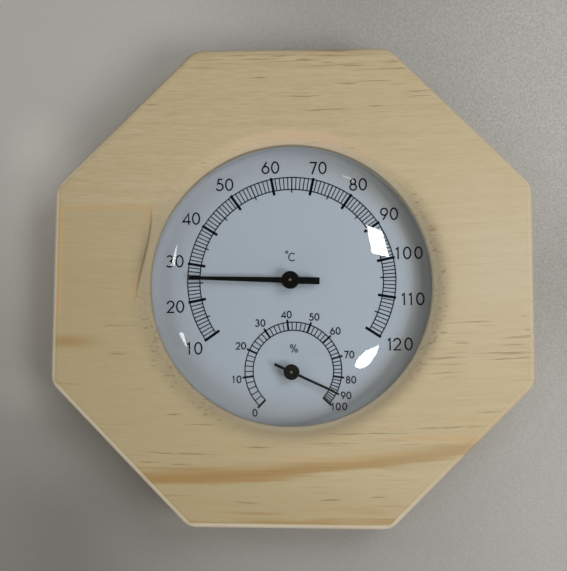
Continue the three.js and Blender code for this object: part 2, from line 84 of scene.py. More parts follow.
@dataclass
class Shape:
    """A closed surface in millimetres.

    points holds x and z from the middle of the wood and y in the row frame, and each array in faces
    holds faces of one corner count.
    """

    points: np.ndarray
    faces: list[np.ndarray]

    def volume(self) -> float:
        """The signed volume: the sum over the faces' fans of a . (b x c) / 6.

        Returns:
            Cubic millimetres, below 0 where the faces point in.
        """
        total = 0.0
        for group in self.faces:
            for step in range(1, group.shape[1] - 1):
                a, b, c = (self.points[group[:, i]] for i in (0, step, step + 1))
                total += float(np.einsum("ij,ij->", a, np.cross(b, c))) / 6
        return total

    def outward(self) -> "Shape":
        """Turns the faces over if they point in.

        Returns:
            This shape.
        """
        if self.volume() < 0:
            self.faces = [group[:, ::-1] for group in self.faces]
        return self

    def moved(self, x: float = 0.0, y: float = 0.0, z: float = 0.0) -> "Shape":
        """A copy moved by x, y and z."""
        return Shape(self.points + np.array([x, y, z]), self.faces)

    @staticmethod
    def joined(shapes: Sequence["Shape"]) -> "Shape":
        """Puts shapes together, each still closed in itself.

        Args:
            shapes: to be put together.

        Returns:
            One shape.
        """
        starts = np.cumsum([0] + [len(shape.points) for shape in shapes])
        faces = [group + start for shape, start in zip(shapes, starts) for group in shape.faces]
        return Shape(np.vstack([shape.points for shape in shapes]), faces)


def skin(grid: np.ndarray, ring: bool = False) -> Shape:
    """Closes a grid of points to a surface.

    Row i and column j make a quad with row i + 1 and column j + 1. Columns always close on
    themselves. A row whose points all fall together becomes one vertex with a fan of triangles.

    Args:
        grid: points, as rows x columns x 3.
        ring: True where the last row joins the first, otherwise the end rows get flat lids.

    Returns:
        The closed shape.
    """
    rows, columns = grid.shape[:2]
    index = np.arange(rows * columns).reshape(rows, columns)
    pole = np.ptp(grid, axis=1).max(axis=1) < SAME_PLACE
    index[pole] = index[pole, :1]
    upper = index if ring else index[:-1]
    lower = np.roll(index, -1, axis=0) if ring else index[1:]
    quads = np.stack([upper, lower, np.roll(lower, -1, 1), np.roll(upper, -1, 1)], -1).reshape(-1, 4)
    top_fan, low_fan = quads[:, 0] == quads[:, 3], quads[:, 1] == quads[:, 2]
    faces = [quads[~(top_fan | low_fan)], quads[top_fan][:, :3], quads[low_fan][:, [0, 1, 3]]]
    if not ring:
        faces += [lid[None, :] for lid, closed in ((index[0], pole[0]), (index[-1, ::-1], pole[-1]))
                  if not closed]
    faces = [group for group in faces if len(group)]
    used, first = np.unique(np.concatenate([group.ravel() for group in faces]), return_inverse=True)
    cuts = np.cumsum([group.size for group in faces])[:-1]
    faces = [part.reshape(group.shape) for part, group in zip(np.split(first, cuts), faces)]
    return Shape(grid.reshape(-1, 3)[used], faces).outward()


def arc(centre: Point, radii: Point, start: float, end: float, steps: int) -> np.ndarray:
    """Points of an ellipse's arc: centre + (radii[0] cos t, radii[1] sin t), t in degrees."""
    turn = np.radians(np.linspace(start, end, steps + 1))
    return np.array(centre) + np.stack([radii[0] * np.cos(turn), radii[1] * np.sin(turn)], 1)


def turned(profile: np.ndarray, steps: int, ring: bool = False) -> Shape:
    """Turns a profile round the y axis: (r, y) at turn t goes to (r sin t, y, r cos t).

    Args:
        profile: points (r, y).
        steps: round the axis.
        ring: True where the profile closes on itself.

    Returns:
        The closed shape.
    """
    turn = np.linspace(0, FULL_TURN, steps, endpoint=False)
    radius, y = profile[:, :1], np.repeat(profile[:, 1:], steps, axis=1)
    return skin(np.stack([radius * np.sin(turn), y, radius * np.cos(turn)], -1), ring)


def lofted(outlines: Sequence[np.ndarray], heights: Sequence[float], ring: bool = False) -> Shape:
    """Skins outlines of equal point counts, row i at y = heights[i].

    Args:
        outlines: rows of points (x, z).
        heights: y of each row.
        ring: True where the last row joins the first.

    Returns:
        The closed shape.
    """
    flat = np.stack(outlines)
    y = np.broadcast_to(np.array(heights)[:, None, None], flat.shape[:2] + (1,))
    return skin(np.concatenate([flat[..., :1], y, flat[..., 1:]], -1), ring)


def prism(outline: np.ndarray, y_from: float, y_to: float) -> Shape:
    """The outline (x, z) carried straight from y_from to y_to."""
    return lofted([outline, outline], [y_from, y_to])


def stroke(path: np.ndarray, width: float, y_from: float, y_to: float, closed: bool = False) -> Shape:
    """Carries a rectangular section along a path of (x, z) points.

    At each point the section lies across the mean of the two neighbouring directions, and is widened
    there by 1 / cos(half the bend) so that the stroke keeps its width.

    Args:
        path: points (x, z).
        width: of the section, across the path.
        y_from: front of the section.
        y_to: back of the section.
        closed: True where the path's end joins its start.

    Returns:
        The closed shape.
    """
    if closed:
        ahead, behind = np.roll(path, -1, 0) - path, path - np.roll(path, 1, 0)
    else:
        steps = np.diff(path, axis=0)
        ahead, behind = np.vstack([steps, steps[-1:]]), np.vstack([steps[:1], steps])
    ahead /= np.linalg.norm(ahead, axis=1, keepdims=True)
    behind /= np.linalg.norm(behind, axis=1, keepdims=True)
    mean = ahead + behind
    mean /= np.linalg.norm(mean, axis=1, keepdims=True)
    sharpest = 0.5  # cosine of half the sharpest bend that is widened in full
    widen = 1 / np.clip(np.einsum("ij,ij->i", mean, ahead), sharpest, 1)[:, None]
    side = np.stack([-mean[:, 1], mean[:, 0]], 1) * width / 2 * widen
    section = ((1, y_from), (1, y_to), (-1, y_to), (-1, y_from))
    grid = np.stack([np.insert(path + sign * side, 1, y, axis=1) for sign, y in section], 1)
    return skin(grid, closed)


def bars(starts: np.ndarray, ends: np.ndarray, width: float, y_from: float, y_to: float) -> Shape:
    """Straight bars, eight corners and six faces each: both ends, plus and minus half the width.

    Args:
        starts: points (x, z).
        ends: points (x, z).
        width: across each bar.
        y_from: front of the bars.
        y_to: back of the bars.

    Returns:
        All the bars as one shape.
    """
    along = (ends - starts) / np.linalg.norm(ends - starts, axis=1, keepdims=True)
    side = np.stack([-along[:, 1], along[:, 0]], 1) * width / 2
    flat = np.stack([starts - side, ends - side, ends + side, starts + side], 1)
    corners = np.concatenate([np.insert(flat, 1, y, axis=2) for y in (y_from, y_to)], 1)
    box = np.array([[0, 1, 2, 3], [7, 6, 5, 4], [1, 0, 4, 5], [2, 1, 5, 6], [3, 2, 6, 7], [0, 3, 7, 4]])
    faces = (np.arange(len(starts))[:, None, None] * 8 + box).reshape(-1, 4)
    return Shape(corners.reshape(-1, 3), [faces]).outward()


def rounded_rectangle(half_width: float, low: float, high: float, radius: float,
                      steps: int) -> np.ndarray:
    """A rectangle's outline with an arc of 90 degrees at each corner.

    Args:
        half_width: from the middle to each side.
        low: z of the lower side.
        high: z of the upper side.
        radius: of the corners.
        steps: of each arc.

    Returns:
        Points (x, z).
    """
    corners = ((half_width - radius, low + radius, -90), (half_width - radius, high - radius, 0),
               (-half_width + radius, high - radius, 90), (-half_width + radius, low + radius, 180))
    return np.vstack([arc((x, z), (radius, radius), a, a + 90, steps) for x, z, a in corners])


def at_depth(depth: float) -> float:
    """The y of a depth below the wood's front face."""
    return FRONT + depth


def to_object(shape: Shape, name: str, cutters: Sequence[Shape] = (),
              sharp: float = 28.0) -> bpy.types.Object:
    """Puts a shape into a mesh object, less its cutters.

    Args:
        shape: the surface, with x and z from the middle of the wood.
        name: of the object.
        cutters: closed shapes taken out by an exact Boolean.
        sharp: angle in degrees past which an edge is drawn sharp.

    Returns:
        The object, at the origin with its place in its mesh.
    """
    made = bpy.data.objects.new(name, _mesh(shape, name))
    bpy.context.scene.collection.objects.link(made)
    if cutters:
        tool = bpy.data.objects.new(f"{name}_cutter", _mesh(Shape.joined(cutters), f"{name}_cutter"))
        bpy.context.scene.collection.objects.link(tool)
        cut = made.modifiers.new("cut", "BOOLEAN")
        cut.operation, cut.solver, cut.use_self, cut.object = "DIFFERENCE", "EXACT", True, tool
        graph = bpy.context.evaluated_depsgraph_get()
        result = bpy.data.meshes.new_from_object(made.evaluated_get(graph))
        made.modifiers.clear()
        made.data, spare = result, made.data
        result.name = name
        bpy.data.meshes.remove(spare)
        bpy.data.objects.remove(tool)
    made.data.polygons.foreach_set("use_smooth", np.ones(len(made.data.polygons), bool))
    made.data.set_sharp_from_angle(angle=math.radians(sharp))
    return made


def _mesh(shape: Shape, name: str) -> bpy.types.Mesh:
    """Makes a mesh in metres of a shape, brought from the middle of the wood to the row frame.

    Args:
        shape: the surface.
        name: of the mesh.

    Returns:
        The mesh.
    """
    mesh = bpy.data.meshes.new(name)
    placed = (shape.points + np.array([0, 0, MIDDLE])) * MM
    mesh.from_pydata(placed.tolist(), [], [face for group in shape.faces for face in group.tolist()])
    mesh.update()
    return mesh


# The photo's camera


@dataclass(frozen=True)
class Eye:
    """The photo's camera, and where its pixels lie on the wood's front face."""

    place: Triple = (0.015650, -0.349994, -0.103489)
    turn: Triple = (94.8648, -0.2332, 3.1320)
    lens: float = 58.63
    sensor: float = 36.0
    picture: Point = (567, 571)  # its width and height in pixels

    @property
    def angles(self) -> Euler:
        """The turn in radians."""
        return Euler([math.radians(angle) for angle in self.turn])

    def on_front(self, pixels: Sequence[Point]) -> np.ndarray:
        """Where pixels of the photo lie on the wood's front face, in millimetres from its middle.

        With u to the right and v down from the middle of the frame, a pixel is seen along (u, -v, -f)
        in the camera's own axes, where f is the lens in pixels. That line is followed to the face.

        Args:
            pixels: counted to the right and down.

        Returns:
            A row for each pixel: how far it lies to the right and up.
        """
        u, v = (np.array(pixels, float) - np.array(self.picture) / 2).T
        focal = self.lens / self.sensor * max(self.picture)
        own = np.stack([u, -v, np.full(len(u), -focal)], 1)
        sight = own @ np.array(self.angles.to_matrix()).T
        reach = (FRONT * MM - self.place[1]) / sight[:, 1]
        met = (np.array(self.place) + reach[:, None] * sight) / MM
        return np.stack([met[:, 0], met[:, 2] - MIDDLE], 1)


EYE = Eye()


# Node trees


class Graph:
    """A node tree, with a short call for each node that the finishes use."""

    def __init__(self, tree: bpy.types.NodeTree) -> None:
        """Works on the given tree."""
        self.tree = tree

    def node(self, kind: str, values: Values | None = None, **settings: object) -> bpy.types.Node:
        """Adds a node.

        Args:
            kind: its type name after "ShaderNode".
            values: for its inputs, by name or number: a socket to link, or a plain value.
            settings: its own attributes.

        Returns:
            The node.
        """
        made = self.tree.nodes.new(f"ShaderNode{kind}")
        for key, value in settings.items():
            setattr(made, key, value)
        self.feed(made, values or {})
        return made

    def feed(self, node: bpy.types.Node, values: Values) -> None:
        """Links sockets to a node's inputs, or sets the inputs' own values.

        Args:
            node: whose inputs are fed.
            values: by name or number: a socket, a number, a vector or a colour.
        """
        for key, value in values.items():
            entry = node.inputs[key]
            if isinstance(value, bpy.types.NodeSocket):
                self.tree.links.new(value, entry)
            elif entry.type == "RGBA" and len(value) == 3:
                entry.default_value = (*value, 1.0)
            else:
                entry.default_value = value

    def math(self, operation: str, *values: Input, clamp: bool = False) -> Socket:
        """One step of arithmetic."""
        return self.node("Math", dict(enumerate(values)), operation=operation, use_clamp=clamp).outputs[0]

    def add(self, *values: Input) -> Socket:
        """The sum of two or more values."""
        return reduce(partial(self.math, "ADD"), values)

    def times(self, *values: Input) -> Socket:
        """The product of two or more values."""
        return reduce(partial(self.math, "MULTIPLY"), values)

    def most(self, *values: Input) -> Socket:
        """The greatest of two or more values."""
        return reduce(partial(self.math, "MAXIMUM"), values)

    def apart(self, value: Input, middle: float = 0.0) -> Socket:
        """How far a value is from a middle, either way."""
        return self.math("ABSOLUTE", self.add(value, -middle))

    def curve(self, value: Input, *terms: float) -> Socket:
        """terms[0] + terms[1] v + terms[2] v^2 and so on, worked out from the last term back."""
        return reduce(lambda total, term: self.add(self.times(total, value), term), reversed(terms))

    def split(self, vector: Input) -> tuple[Socket, ...]:
        """The x, y and z of a vector."""
        return tuple(self.node("SeparateXYZ", {0: vector}).outputs)

    def face(self, place: Input) -> tuple[Socket, Socket, Socket]:
        """A place in millimetres from the middle of the wood's front face.

        Args:
            place: in metres, in the row frame.

        Returns:
            The distances to the right, up and in.
        """
        x, y, z = (self.times(part, 1 / MM) for part in self.split(place))
        return x, self.add(z, -MIDDLE), self.add(y, -FRONT)

    def along(self, point: Sequence[Socket], direction: Point) -> Socket:
        """How far a point lies along a direction: the sum of the products."""
        return self.add(*[self.times(part, share) for part, share in zip(point, direction)])

    def radius(self, point: Sequence[Socket], centre: Point = (0.0, 0.0)) -> Socket:
        """Distance of a point from a centre: root of the sum of the squared differences."""
        squares = [self.math("POWER", self.add(part, -middle), 2.0) for part, middle in zip(point, centre)]
        return self.math("SQRT", self.add(*squares))

    def between(self, value: Input, low: float, high: float) -> Socket:
        """0 below low and 1 above high, with a smooth rise between; low above high makes it fall."""
        return self.node("MapRange", {"Value": value, "From Min": low, "From Max": high},
                         interpolation_type="SMOOTHSTEP").outputs[0]

    def plateau(self, value: Input, low: float, full: float, end: float, high: float) -> Socket:
        """A smooth rise from low to full, and a smooth fall from end to high."""
        return self.times(self.between(value, low, full), self.between(value, high, end))

    def ridge(self, value: Input, middle: float, half_width: float) -> Socket:
        """1 at the middle, with a smooth fall to 0 half a width away on both sides."""
        return self.between(self.apart(value, middle), half_width, 0.0)

    def spread(self, value: Input, low: float, high: float) -> Socket:
        """A value from 0 to 1 spread evenly from low to high."""
        return self.node("MapRange", {"Value": value, "To Min": low, "To Max": high}).outputs[0]

    def mix(self, share: Input, low: Input, high: Input, blend: str = "MIX") -> Socket:
        """Two colours mixed by a share."""
        made = self.node("Mix", {0: share, 6: low, 7: high}, data_type="RGBA", blend_type=blend)
        return made.outputs[2]

    def noise(self, place: Input, scale: Input, detail: float = 2.0, roughness: float = 0.5) -> Socket:
        """Cloudy noise from 0 to 1.

        Args:
            place: where it is read.
            scale: clouds to the metre, or as many for each axis.
            detail: how many finer layers lie over the first.
            roughness: the share of each next layer.

        Returns:
            The noise.
        """
        if isinstance(scale, tuple):
            place, scale = self.node("Mapping", {"Vector": place, "Scale": scale}).outputs[0], 1.0
        made = self.node("TexNoise", {"Vector": place, "Scale": scale, "Detail": detail,
                                      "Roughness": roughness})
        return made.outputs[0]

    def lifted(self, place: Input, rise: Input) -> Socket:
        """A place with a rise added to its z."""
        lift = self.node("CombineXYZ", {2: rise}).outputs[0]
        return self.node("VectorMath", {0: place, 1: lift}, operation="ADD").outputs[0]

    def surface(self, share: Input, first: bpy.types.Node, second: bpy.types.Node) -> None:
        """Gives the material's output two shaders mixed by a share."""
        both = self.node("MixShader", {0: share, 1: first.outputs[0], 2: second.outputs[0]})
        self.feed(self.tree.nodes["Material Output"], {"Surface": both.outputs[0]})


class Effect(Graph):
    """A node group with named inputs and outputs, built once and placed in several finishes."""

    def __init__(self, name: str, entries: dict[str, float], *results: str) -> None:
        """Makes the group's sockets.

        Args:
            name: of the group.
            entries: default of each number by name, after a vector that every group has.
            results: names of the numbers that it gives.
        """
        super().__init__(bpy.data.node_groups.new(name, "ShaderNodeTree"))
        sockets = self.tree.interface
        sockets.new_socket("Vector", in_out="INPUT", socket_type="NodeSocketVector")
        for key, default in entries.items():
            made = sockets.new_socket(key, in_out="INPUT", socket_type="NodeSocketFloat")
            made.default_value = default
        for key in results:
            sockets.new_socket(key, in_out="OUTPUT", socket_type="NodeSocketFloat")
        self.entries = self.tree.nodes.new("NodeGroupInput").outputs
        self.results = self.tree.nodes.new("NodeGroupOutput")


def streak_effect() -> Effect:
    """A short dark line in wood: 1 - dx^2 - dy^2 - dz^2 in units of the streak's reach on each axis.

    Returns:
        The group.
    """
    g = Effect("streak", {"X": 0, "Y": 0, "Z": 0, "Reach": 0.005, "Thickness": 0.0004}, "Mask")
    e, deep = g.entries, 0.006
    offsets = [g.math("SUBTRACT", part, e[axis]) for part, axis in zip(g.split(e["Vector"]), "XYZ")]
    parts = [g.math("POWER", g.math("DIVIDE", offset, reach), 2.0)
             for offset, reach in zip(offsets, (e["Reach"], deep, e["Thickness"]))]
    g.feed(g.results, {"Mask": g.math("SUBTRACT", 1.0, g.add(*parts), clamp=True)})
    return g


def speckle_effect() -> Effect:
    """Fine grain of a moulded, sprayed or printed skin: two sizes of noise, as a mask and a height.

    Returns:
        The group.
    """
    g = Effect("speckle", {"Size": 0.0005, "Contrast": 0.5}, "Mask", "Height")
    scale = g.math("DIVIDE", 1.0, g.entries["Size"])
    fine = g.noise(g.entries["Vector"], scale, 2.0, 0.6)
    broad = g.noise(g.entries["Vector"], g.times(scale, 0.12))
    level = g.times(g.add(g.times(fine, 0.7), g.times(broad, 0.3), -0.5), g.entries["Contrast"])
    g.feed(g.results, {"Mask": g.math("ADD", level, 0.5, clamp=True), "Height": fine})
    return g


def brushed_effect() -> Effect:
    """Fine scratches along x and dull blotches, as on plated, rolled and turned metal.

    Returns:
        The group.
    """
    g = Effect("brushed", {"Dulling": 0.3}, "Mask", "Height")
    scratches = g.noise(g.entries["Vector"], (300, 3500, 3500), 3.0, 0.6)
    blotches = g.noise(g.entries["Vector"], 180.0, 3.0)
    dull = g.times(blotches, g.entries["Dulling"])
    g.feed(g.results, {"Mask": g.math("ADD", g.times(scratches, 0.4), dull, clamp=True),
                       "Height": scratches})
    return g


EFFECTS = {effect.tree.name: effect.tree for effect in (streak_effect(), speckle_effect(), brushed_effect())}


# Finishes


class Coat(Graph):
    """A material's node tree, with its shader and the piece's own coordinates."""

    def __init__(self, material: bpy.types.Material) -> None:
        """Opens a material's tree.

        Args:
            material: to be dressed.
        """
        material.use_nodes = True
        super().__init__(material.node_tree)
        self.shader = self.tree.nodes["Principled BSDF"]
        self.place = self.node("TexCoord").outputs["Object"]

    def finish(self, values: Values, relief: Socket, distance: float) -> None:
        """Feeds the shader, and roughens the surface by a bump.

        Args:
            values: for the shader's inputs.
            relief: the bump's height, from 0 to 1.
            distance: metres that a height of 1 stands for.
        """
        bump = self.node("Bump", {"Height": relief, "Distance": distance, "Strength": 1.0})
        self.feed(self.shader, {**values, "Normal": bump.outputs[0]})


@dataclass(frozen=True)
class Finish(ABC):
    """A finish: one material, made the first time that a piece asks for it."""

    name: str

    def material(self) -> bpy.types.Material:
        """Finds this finish's material, or makes it.

        Returns:
            The material.
        """
        made = bpy.data.materials.get(self.name)
        if made is None:
            made = bpy.data.materials.new(self.name)
            self.dress(Coat(made))
        return made

    @abstractmethod
    def dress(self, g: Coat) -> None:
        """Feeds the shader from the piece's own coordinates."""


@dataclass(frozen=True)
class Moulded(Finish):
    """Plastic, lacquer, enamel or ink: a colour with fine speckle and a little bump."""

    colour: Colour
    speck: Colour
    size: float = 0.0005
    contrast: float = 1.0
    roughness: Point = (0.45, 0.6)
    relief: float = 0.00002
    shine: float = 0.5

    def tone(self, g: Coat, mask: Socket) -> Socket:
        """The two colours mixed by the speckle."""
        return g.mix(mask, self.colour, self.speck)

    def dress(self, g: Coat) -> None:
        """Works the colour, the roughness and the bump out from the speckle.

        Args:
            g: the material's tree.
        """
        grain = g.node("Group", {"Vector": g.place, "Size": self.size, "Contrast": self.contrast},
                       node_tree=EFFECTS["speckle"]).outputs
        g.finish({"Base Color": self.tone(g, grain["Mask"]),
                  "Roughness": g.spread(grain["Mask"], *self.roughness),
                  "Specular IOR Level": self.shine}, grain["Height"], self.relief)


@dataclass(frozen=True)
class Enamel(Moulded):
    """The dial's lacquer, with painted shade towards its rim.

    It is greyer there, warmer at the right and darker at the lower left, and a painted shadow
    crescent lies at the right.
    """

    # painted shade near the rim: greyer all round, darker at the lower left, warmer at the right
    rim: Colour = (0.525, 0.53, 0.60)
    low: Colour = (0.36, 0.355, 0.35)
    side: Colour = (0.43, 0.42, 0.395)
    crescent: tuple[Point, Point] = ((-7.6, 1.4), (-5.6, 1.0))  # middles of the painted shadow crescent's inner and outer edges

    def tone(self, g: Coat, mask: Socket) -> Socket:
        """Adds painted shade to the plain lacquer by the distance from the middle of the dial: a greyer
        rim, a warmer right, a darker lower left and a painted shadow crescent.

        Args:
            g: the material's tree.
            mask: of the speckle.

        Returns:
            The colour.
        """
        point = g.face(g.place)[:2]
        radius = g.radius(point)
        # painted shade: warmer towards the right of the rim and darker towards its lower left
        right = g.between(g.along(point, (0.95, 0.1)), 0.0, 40.0)
        low = g.times(g.between(g.along(point, (-0.5, -0.87)), 22.0, 46.0), g.between(radius, 39.0, 50.0))
        # painted shadow: a crescent at the right, between two circles
        inner, outer = (g.radius(point, middle) for middle in self.crescent)
        crescent = g.times(g.between(inner, 50.6, 52.2), g.between(outer, 52.4, 50.8))
        colour = g.mix(g.between(radius, 35.0, 47.0), super().tone(g, mask), self.rim)
        colour = g.mix(g.times(g.between(radius, 40.0, 47.0), right, 0.7), colour, self.side)
        return g.mix(g.add(g.times(low, 0.45), g.times(crescent, 0.4)), colour, self.low)


@dataclass(frozen=True)
class Metal(Finish):
    """Plated, rolled or turned metal."""

    bright: Colour
    dull: Colour
    roughness: Point = (0.22, 0.5)
    dulling: float = 0.5
    relief: float = 0.000008

    def dress(self, g: Coat) -> None:
        """Mixes the bright and the dull colour, and the roughness, by scratches and blotches.

        Args:
            g: the material's tree.
        """
        marks = g.node("Group", {"Vector": g.place, "Dulling": self.dulling},
                       node_tree=EFFECTS["brushed"]).outputs
        g.finish({"Base Color": g.mix(marks["Mask"], self.bright, self.dull),
                  "Roughness": g.spread(marks["Mask"], *self.roughness), "Metallic": 1.0},
                 marks["Height"], self.relief)


@dataclass(frozen=True)
class ClearGlass(Finish):
    """Polished clear glass with a faint green tint, which lets light through to the dial."""

    tint: Colour = (0.955, 0.985, 0.975)
    passed: Colour = (0.93, 0.95, 0.945)
    index: float = 1.5

    def dress(self, g: Coat) -> None:
        """Glass for what the eye sees, and plain clear for the light that passes through it.

        Args:
            g: the material's tree.
        """
        g.feed(g.shader, {"Base Color": self.tint, "Transmission Weight": 1.0, "IOR": self.index,
                          "Roughness": g.spread(g.noise(g.place, 90.0, 3.0), 0.0, 0.012)})
        path = g.node("LightPath").outputs
        passing = g.most(path["Is Shadow Ray"], path["Is Diffuse Ray"])
        g.surface(passing, g.shader, g.node("BsdfTransparent", {0: self.passed}))


class Clouds(Enum):
    """The wood's noises, each by how many clouds it has to the metre along x, y and z."""

    WARP = (4, 14, 14)
    PATCHES = (5, 16, 16)
    THREADS = (24, 420, 420)
    THIN = (42, 1250, 1250)
    WAVER = (90, 300, 300)
    FIBRES = (150, 1450, 1450)
    RAGGED = (160, 2500, 2500)
    FLECKS = (320, 1000, 1000)


def fitted(points: np.ndarray, degree: int) -> np.ndarray:
    """The smooth curve closest to points: its terms, from the constant up."""
    return np.polyfit(points[:, 0], points[:, 1], degree)[::-1]


@dataclass(frozen=True)
class Board:
    """What the wood's features are worked out from: a tree and its sockets."""

    g: Graph
    place: Socket  # in metres, bent with the grain
    face: Pair  # millimetres to the right of the middle of the wood, and up from it
    depth: Socket  # millimetres in from the front face
    fibres: Socket
    threads: Socket


@dataclass(frozen=True)
class Pine(Finish):
    """Sanded pale pine, its grain along x.

    Growth rings lie round a line parallel to the grain, far behind and below the piece, so that they
    cross the front as faint lines. The grain rises to the right by tilt x + bend x^2, in metres. The
    other features are placed in millimetres: across and height from the middle of the wood, and depth
    from its front face. A span is where a feature starts, is full, starts to fade and ends. Pixels are
    the photo's, read one by one.
    """

    light: Colour = (0.645, 0.53, 0.335)
    tan: Colour = (0.53, 0.425, 0.24)
    olive: Colour = (0.47, 0.38, 0.20)
    amber: Colour = (0.43, 0.27, 0.108)
    honey: Colour = (0.66, 0.42, 0.20)
    dark: Colour = (0.17, 0.10, 0.045)
    sanded: Colour = (0.80, 0.71, 0.57)
    # The next three are painted light on the shoulder: a warm highlight at its top, shade towards the
    # opening, and a cool reflection of the glass along its edge.
    salmon: Colour = (0.76, 0.54, 0.36)
    worn: Colour = (0.31, 0.25, 0.16)
    film: Colour = (0.67, 0.59, 0.44)
    flats: float = 85.0
    opening: float = 50.2
    tilt: float = 0.01
    bend: float = 0.28
    ring_middle: Point = (0.16, -0.42)  # y and z, in metres
    ring_pitch: float = 0.0047  # in metres
    ring_waver: float = 0.008  # in metres
    band_pixels: tuple[Point, ...] = (  # along its darkest line, to the right and down
        (150, 480), (162, 478), (200, 476), (250, 474), (290, 472), (338, 468.6), (386, 462), (433.5, 456),
        (465, 449.5))
    band: Span = (-3.0, -1.0, 0.4, 4.6)  # above the line
    strands: Span = (-3.0, 1.0, 3.0, 17.0)  # above the line
    block_edge: tuple[Point, ...] = (  # height and across, down its right side
        (28.3, -49.6), (26.4, -49.9), (19.9, -50.5), (11.6, -51.2), (8.2, -52.0), (4.7, -53.4),
        (1.3, -54.1), (-1.5, -54.5), (-6.9, -54.8))
    block_top: float = 28.6
    crack: Span = (-8.0, 3.0, 20.0, 29.0)  # in height
    crack_shade: Span = (-3.0, 0.0, 0.0, 0.4)  # past the block's edge
    side_line: Span = (-22.0, -8.0, 26.0, 29.0)  # in height
    mark_lift: float = 0.7
    mark_stretch: float = 1.15
    mark_thickness: float = 0.3
    mark_waver: float = 0.0012  # in metres
    mark_pixels: tuple[Triple, ...] = (  # left end and right end, to the right, and both down
        (189, 225, 60), (256, 300, 56), (249, 267, 78), (280, 322, 96), (144, 160, 105), (296, 312, 60),
        (317, 333, 63), (336, 370, 66), (384, 400, 62), (354, 394, 81), (336, 358, 84), (401, 432, 91),
        (405, 432, 96), (366, 384, 106), (301, 351, 110), (433, 448, 110), (101, 136, 326),
        (107, 128, 354), (149, 158, 366), (165, 184, 415), (184, 217, 425), (141, 225, 454),
        (139, 162, 462), (168, 193, 465), (241, 273, 448), (229, 262, 503), (441, 496, 322.5),
        (521, 529, 317), (440, 448, 333), (524, 532, 330), (453, 472, 343.5), (473, 531, 353),
        (425, 465, 359), (486, 531, 359), (427, 465, 373), (476, 502, 412), (416, 488, 428),
        (315, 414, 434), (296, 360, 444), (366, 387, 497.5), (319, 343, 501),
    )

    def dress(self, g: Coat) -> None:
        """Builds the colour up from the grain, the heartwood, the marks and the sanded edges, with painted
        light and shade: a darker lower left, shade, a highlight and a reflection on the shoulder, and a
        highlight on the edges towards the lower left.

        Args:
            g: the material's tree.
        """
        across, height, depth = g.face(g.place)
        place = g.lifted(g.place, g.curve(g.split(g.place)[0], 0.0, -self.tilt, -self.bend))
        fibres = g.noise(place, Clouds.FIBRES.value, 3.0, 0.65)
        threads = g.noise(place, Clouds.THREADS.value, 2.0, 0.6)
        board = Board(g, place, (across, height), depth, fibres, threads)
        colour = self.grain(board)
        for feature in (self.heartwood, self.block, self.shoulder, self.lines, self.edges):
            colour = feature(board, colour)
        g.finish({"Base Color": colour, "Roughness": g.spread(fibres, 0.5, 0.72),
                  "Specular IOR Level": 0.35}, fibres, 0.00003)

    def grain(self, b: Board) -> Socket:
        """Faint rings, sine of the distance from their middle, with threads, fibres and slow patches.

        The fibres stand out more at the left and the top than at the lower right, and the right is paler.

        Args:
            b: the board.

        Returns:
            The colour.
        """
        g, (across, height) = b.g, b.face
        calm = g.between(g.along(b.face, (0.8, -0.6)), -50.0, 60.0)
        patches = g.between(g.noise(b.place, Clouds.PATCHES.value), 0.35, 0.68)
        waver = g.times(g.noise(b.place, Clouds.WARP.value), self.ring_waver)
        distance = g.add(g.radius(g.split(b.place)[1:], self.ring_middle), waver)
        rings = g.math("SINE", g.times(distance, FULL_TURN / self.ring_pitch))
        fibres = g.times(g.between(b.fibres, 0.3, 0.7), g.spread(calm, 0.56, 0.36))
        tone = g.add(g.times(rings, 0.05), g.times(g.between(b.threads, 0.35, 0.72), 0.22),
                     g.times(patches, 0.26), fibres, g.times(calm, 0.1), -0.05)
        pale = g.times(g.between(across, 40.0, 70.0), g.ridge(height, 5.0, 60.0), 0.2)
        return g.mix(pale, g.mix(tone, self.light, self.tan), self.sanded)

    def heartwood(self, b: Board, colour: Socket) -> Socket:
        """The amber band above its line at the bottom, its strands, and painted shade that darkens the
        lower left corner.

        Args:
            b: the board.
            colour: so far.

        Returns:
            The colour.
        """
        g, (across, height) = b.g, b.face
        line = g.curve(across, *fitted(EYE.on_front(self.band_pixels), 2))
        above = g.add(height, g.times(line, -1.0), g.times(g.add(b.threads, -0.5), 6.0))
        fade = g.spread(g.between(across, 60.0, -30.0), 0.7, 1.15)
        band = g.times(g.plateau(above, *self.band), fade)
        strands = g.times(g.plateau(above, *self.strands), g.between(b.threads, 0.48, 0.66))
        low = g.add(g.times(g.between(height, -76.0, -81.0), g.between(b.threads, 0.42, 0.62)),
                    g.times(g.between(height, -66.0, -78.0), 0.3),
                    g.times(g.ridge(height, 81.5, 4.0), g.between(b.threads, 0.38, 0.58), 0.5))
        # painted shade: the lower left darker, where less light falls
        corner = g.between(g.along(b.face, (-0.7, -0.7)), 0.0, 80.0)
        colour = g.mix(g.times(corner, 0.62), colour, self.olive)
        colour = g.mix(g.times(strands, 0.5), colour, self.honey)
        return g.mix(g.add(g.times(band, 0.85), g.times(low, 0.5)), colour, self.amber)

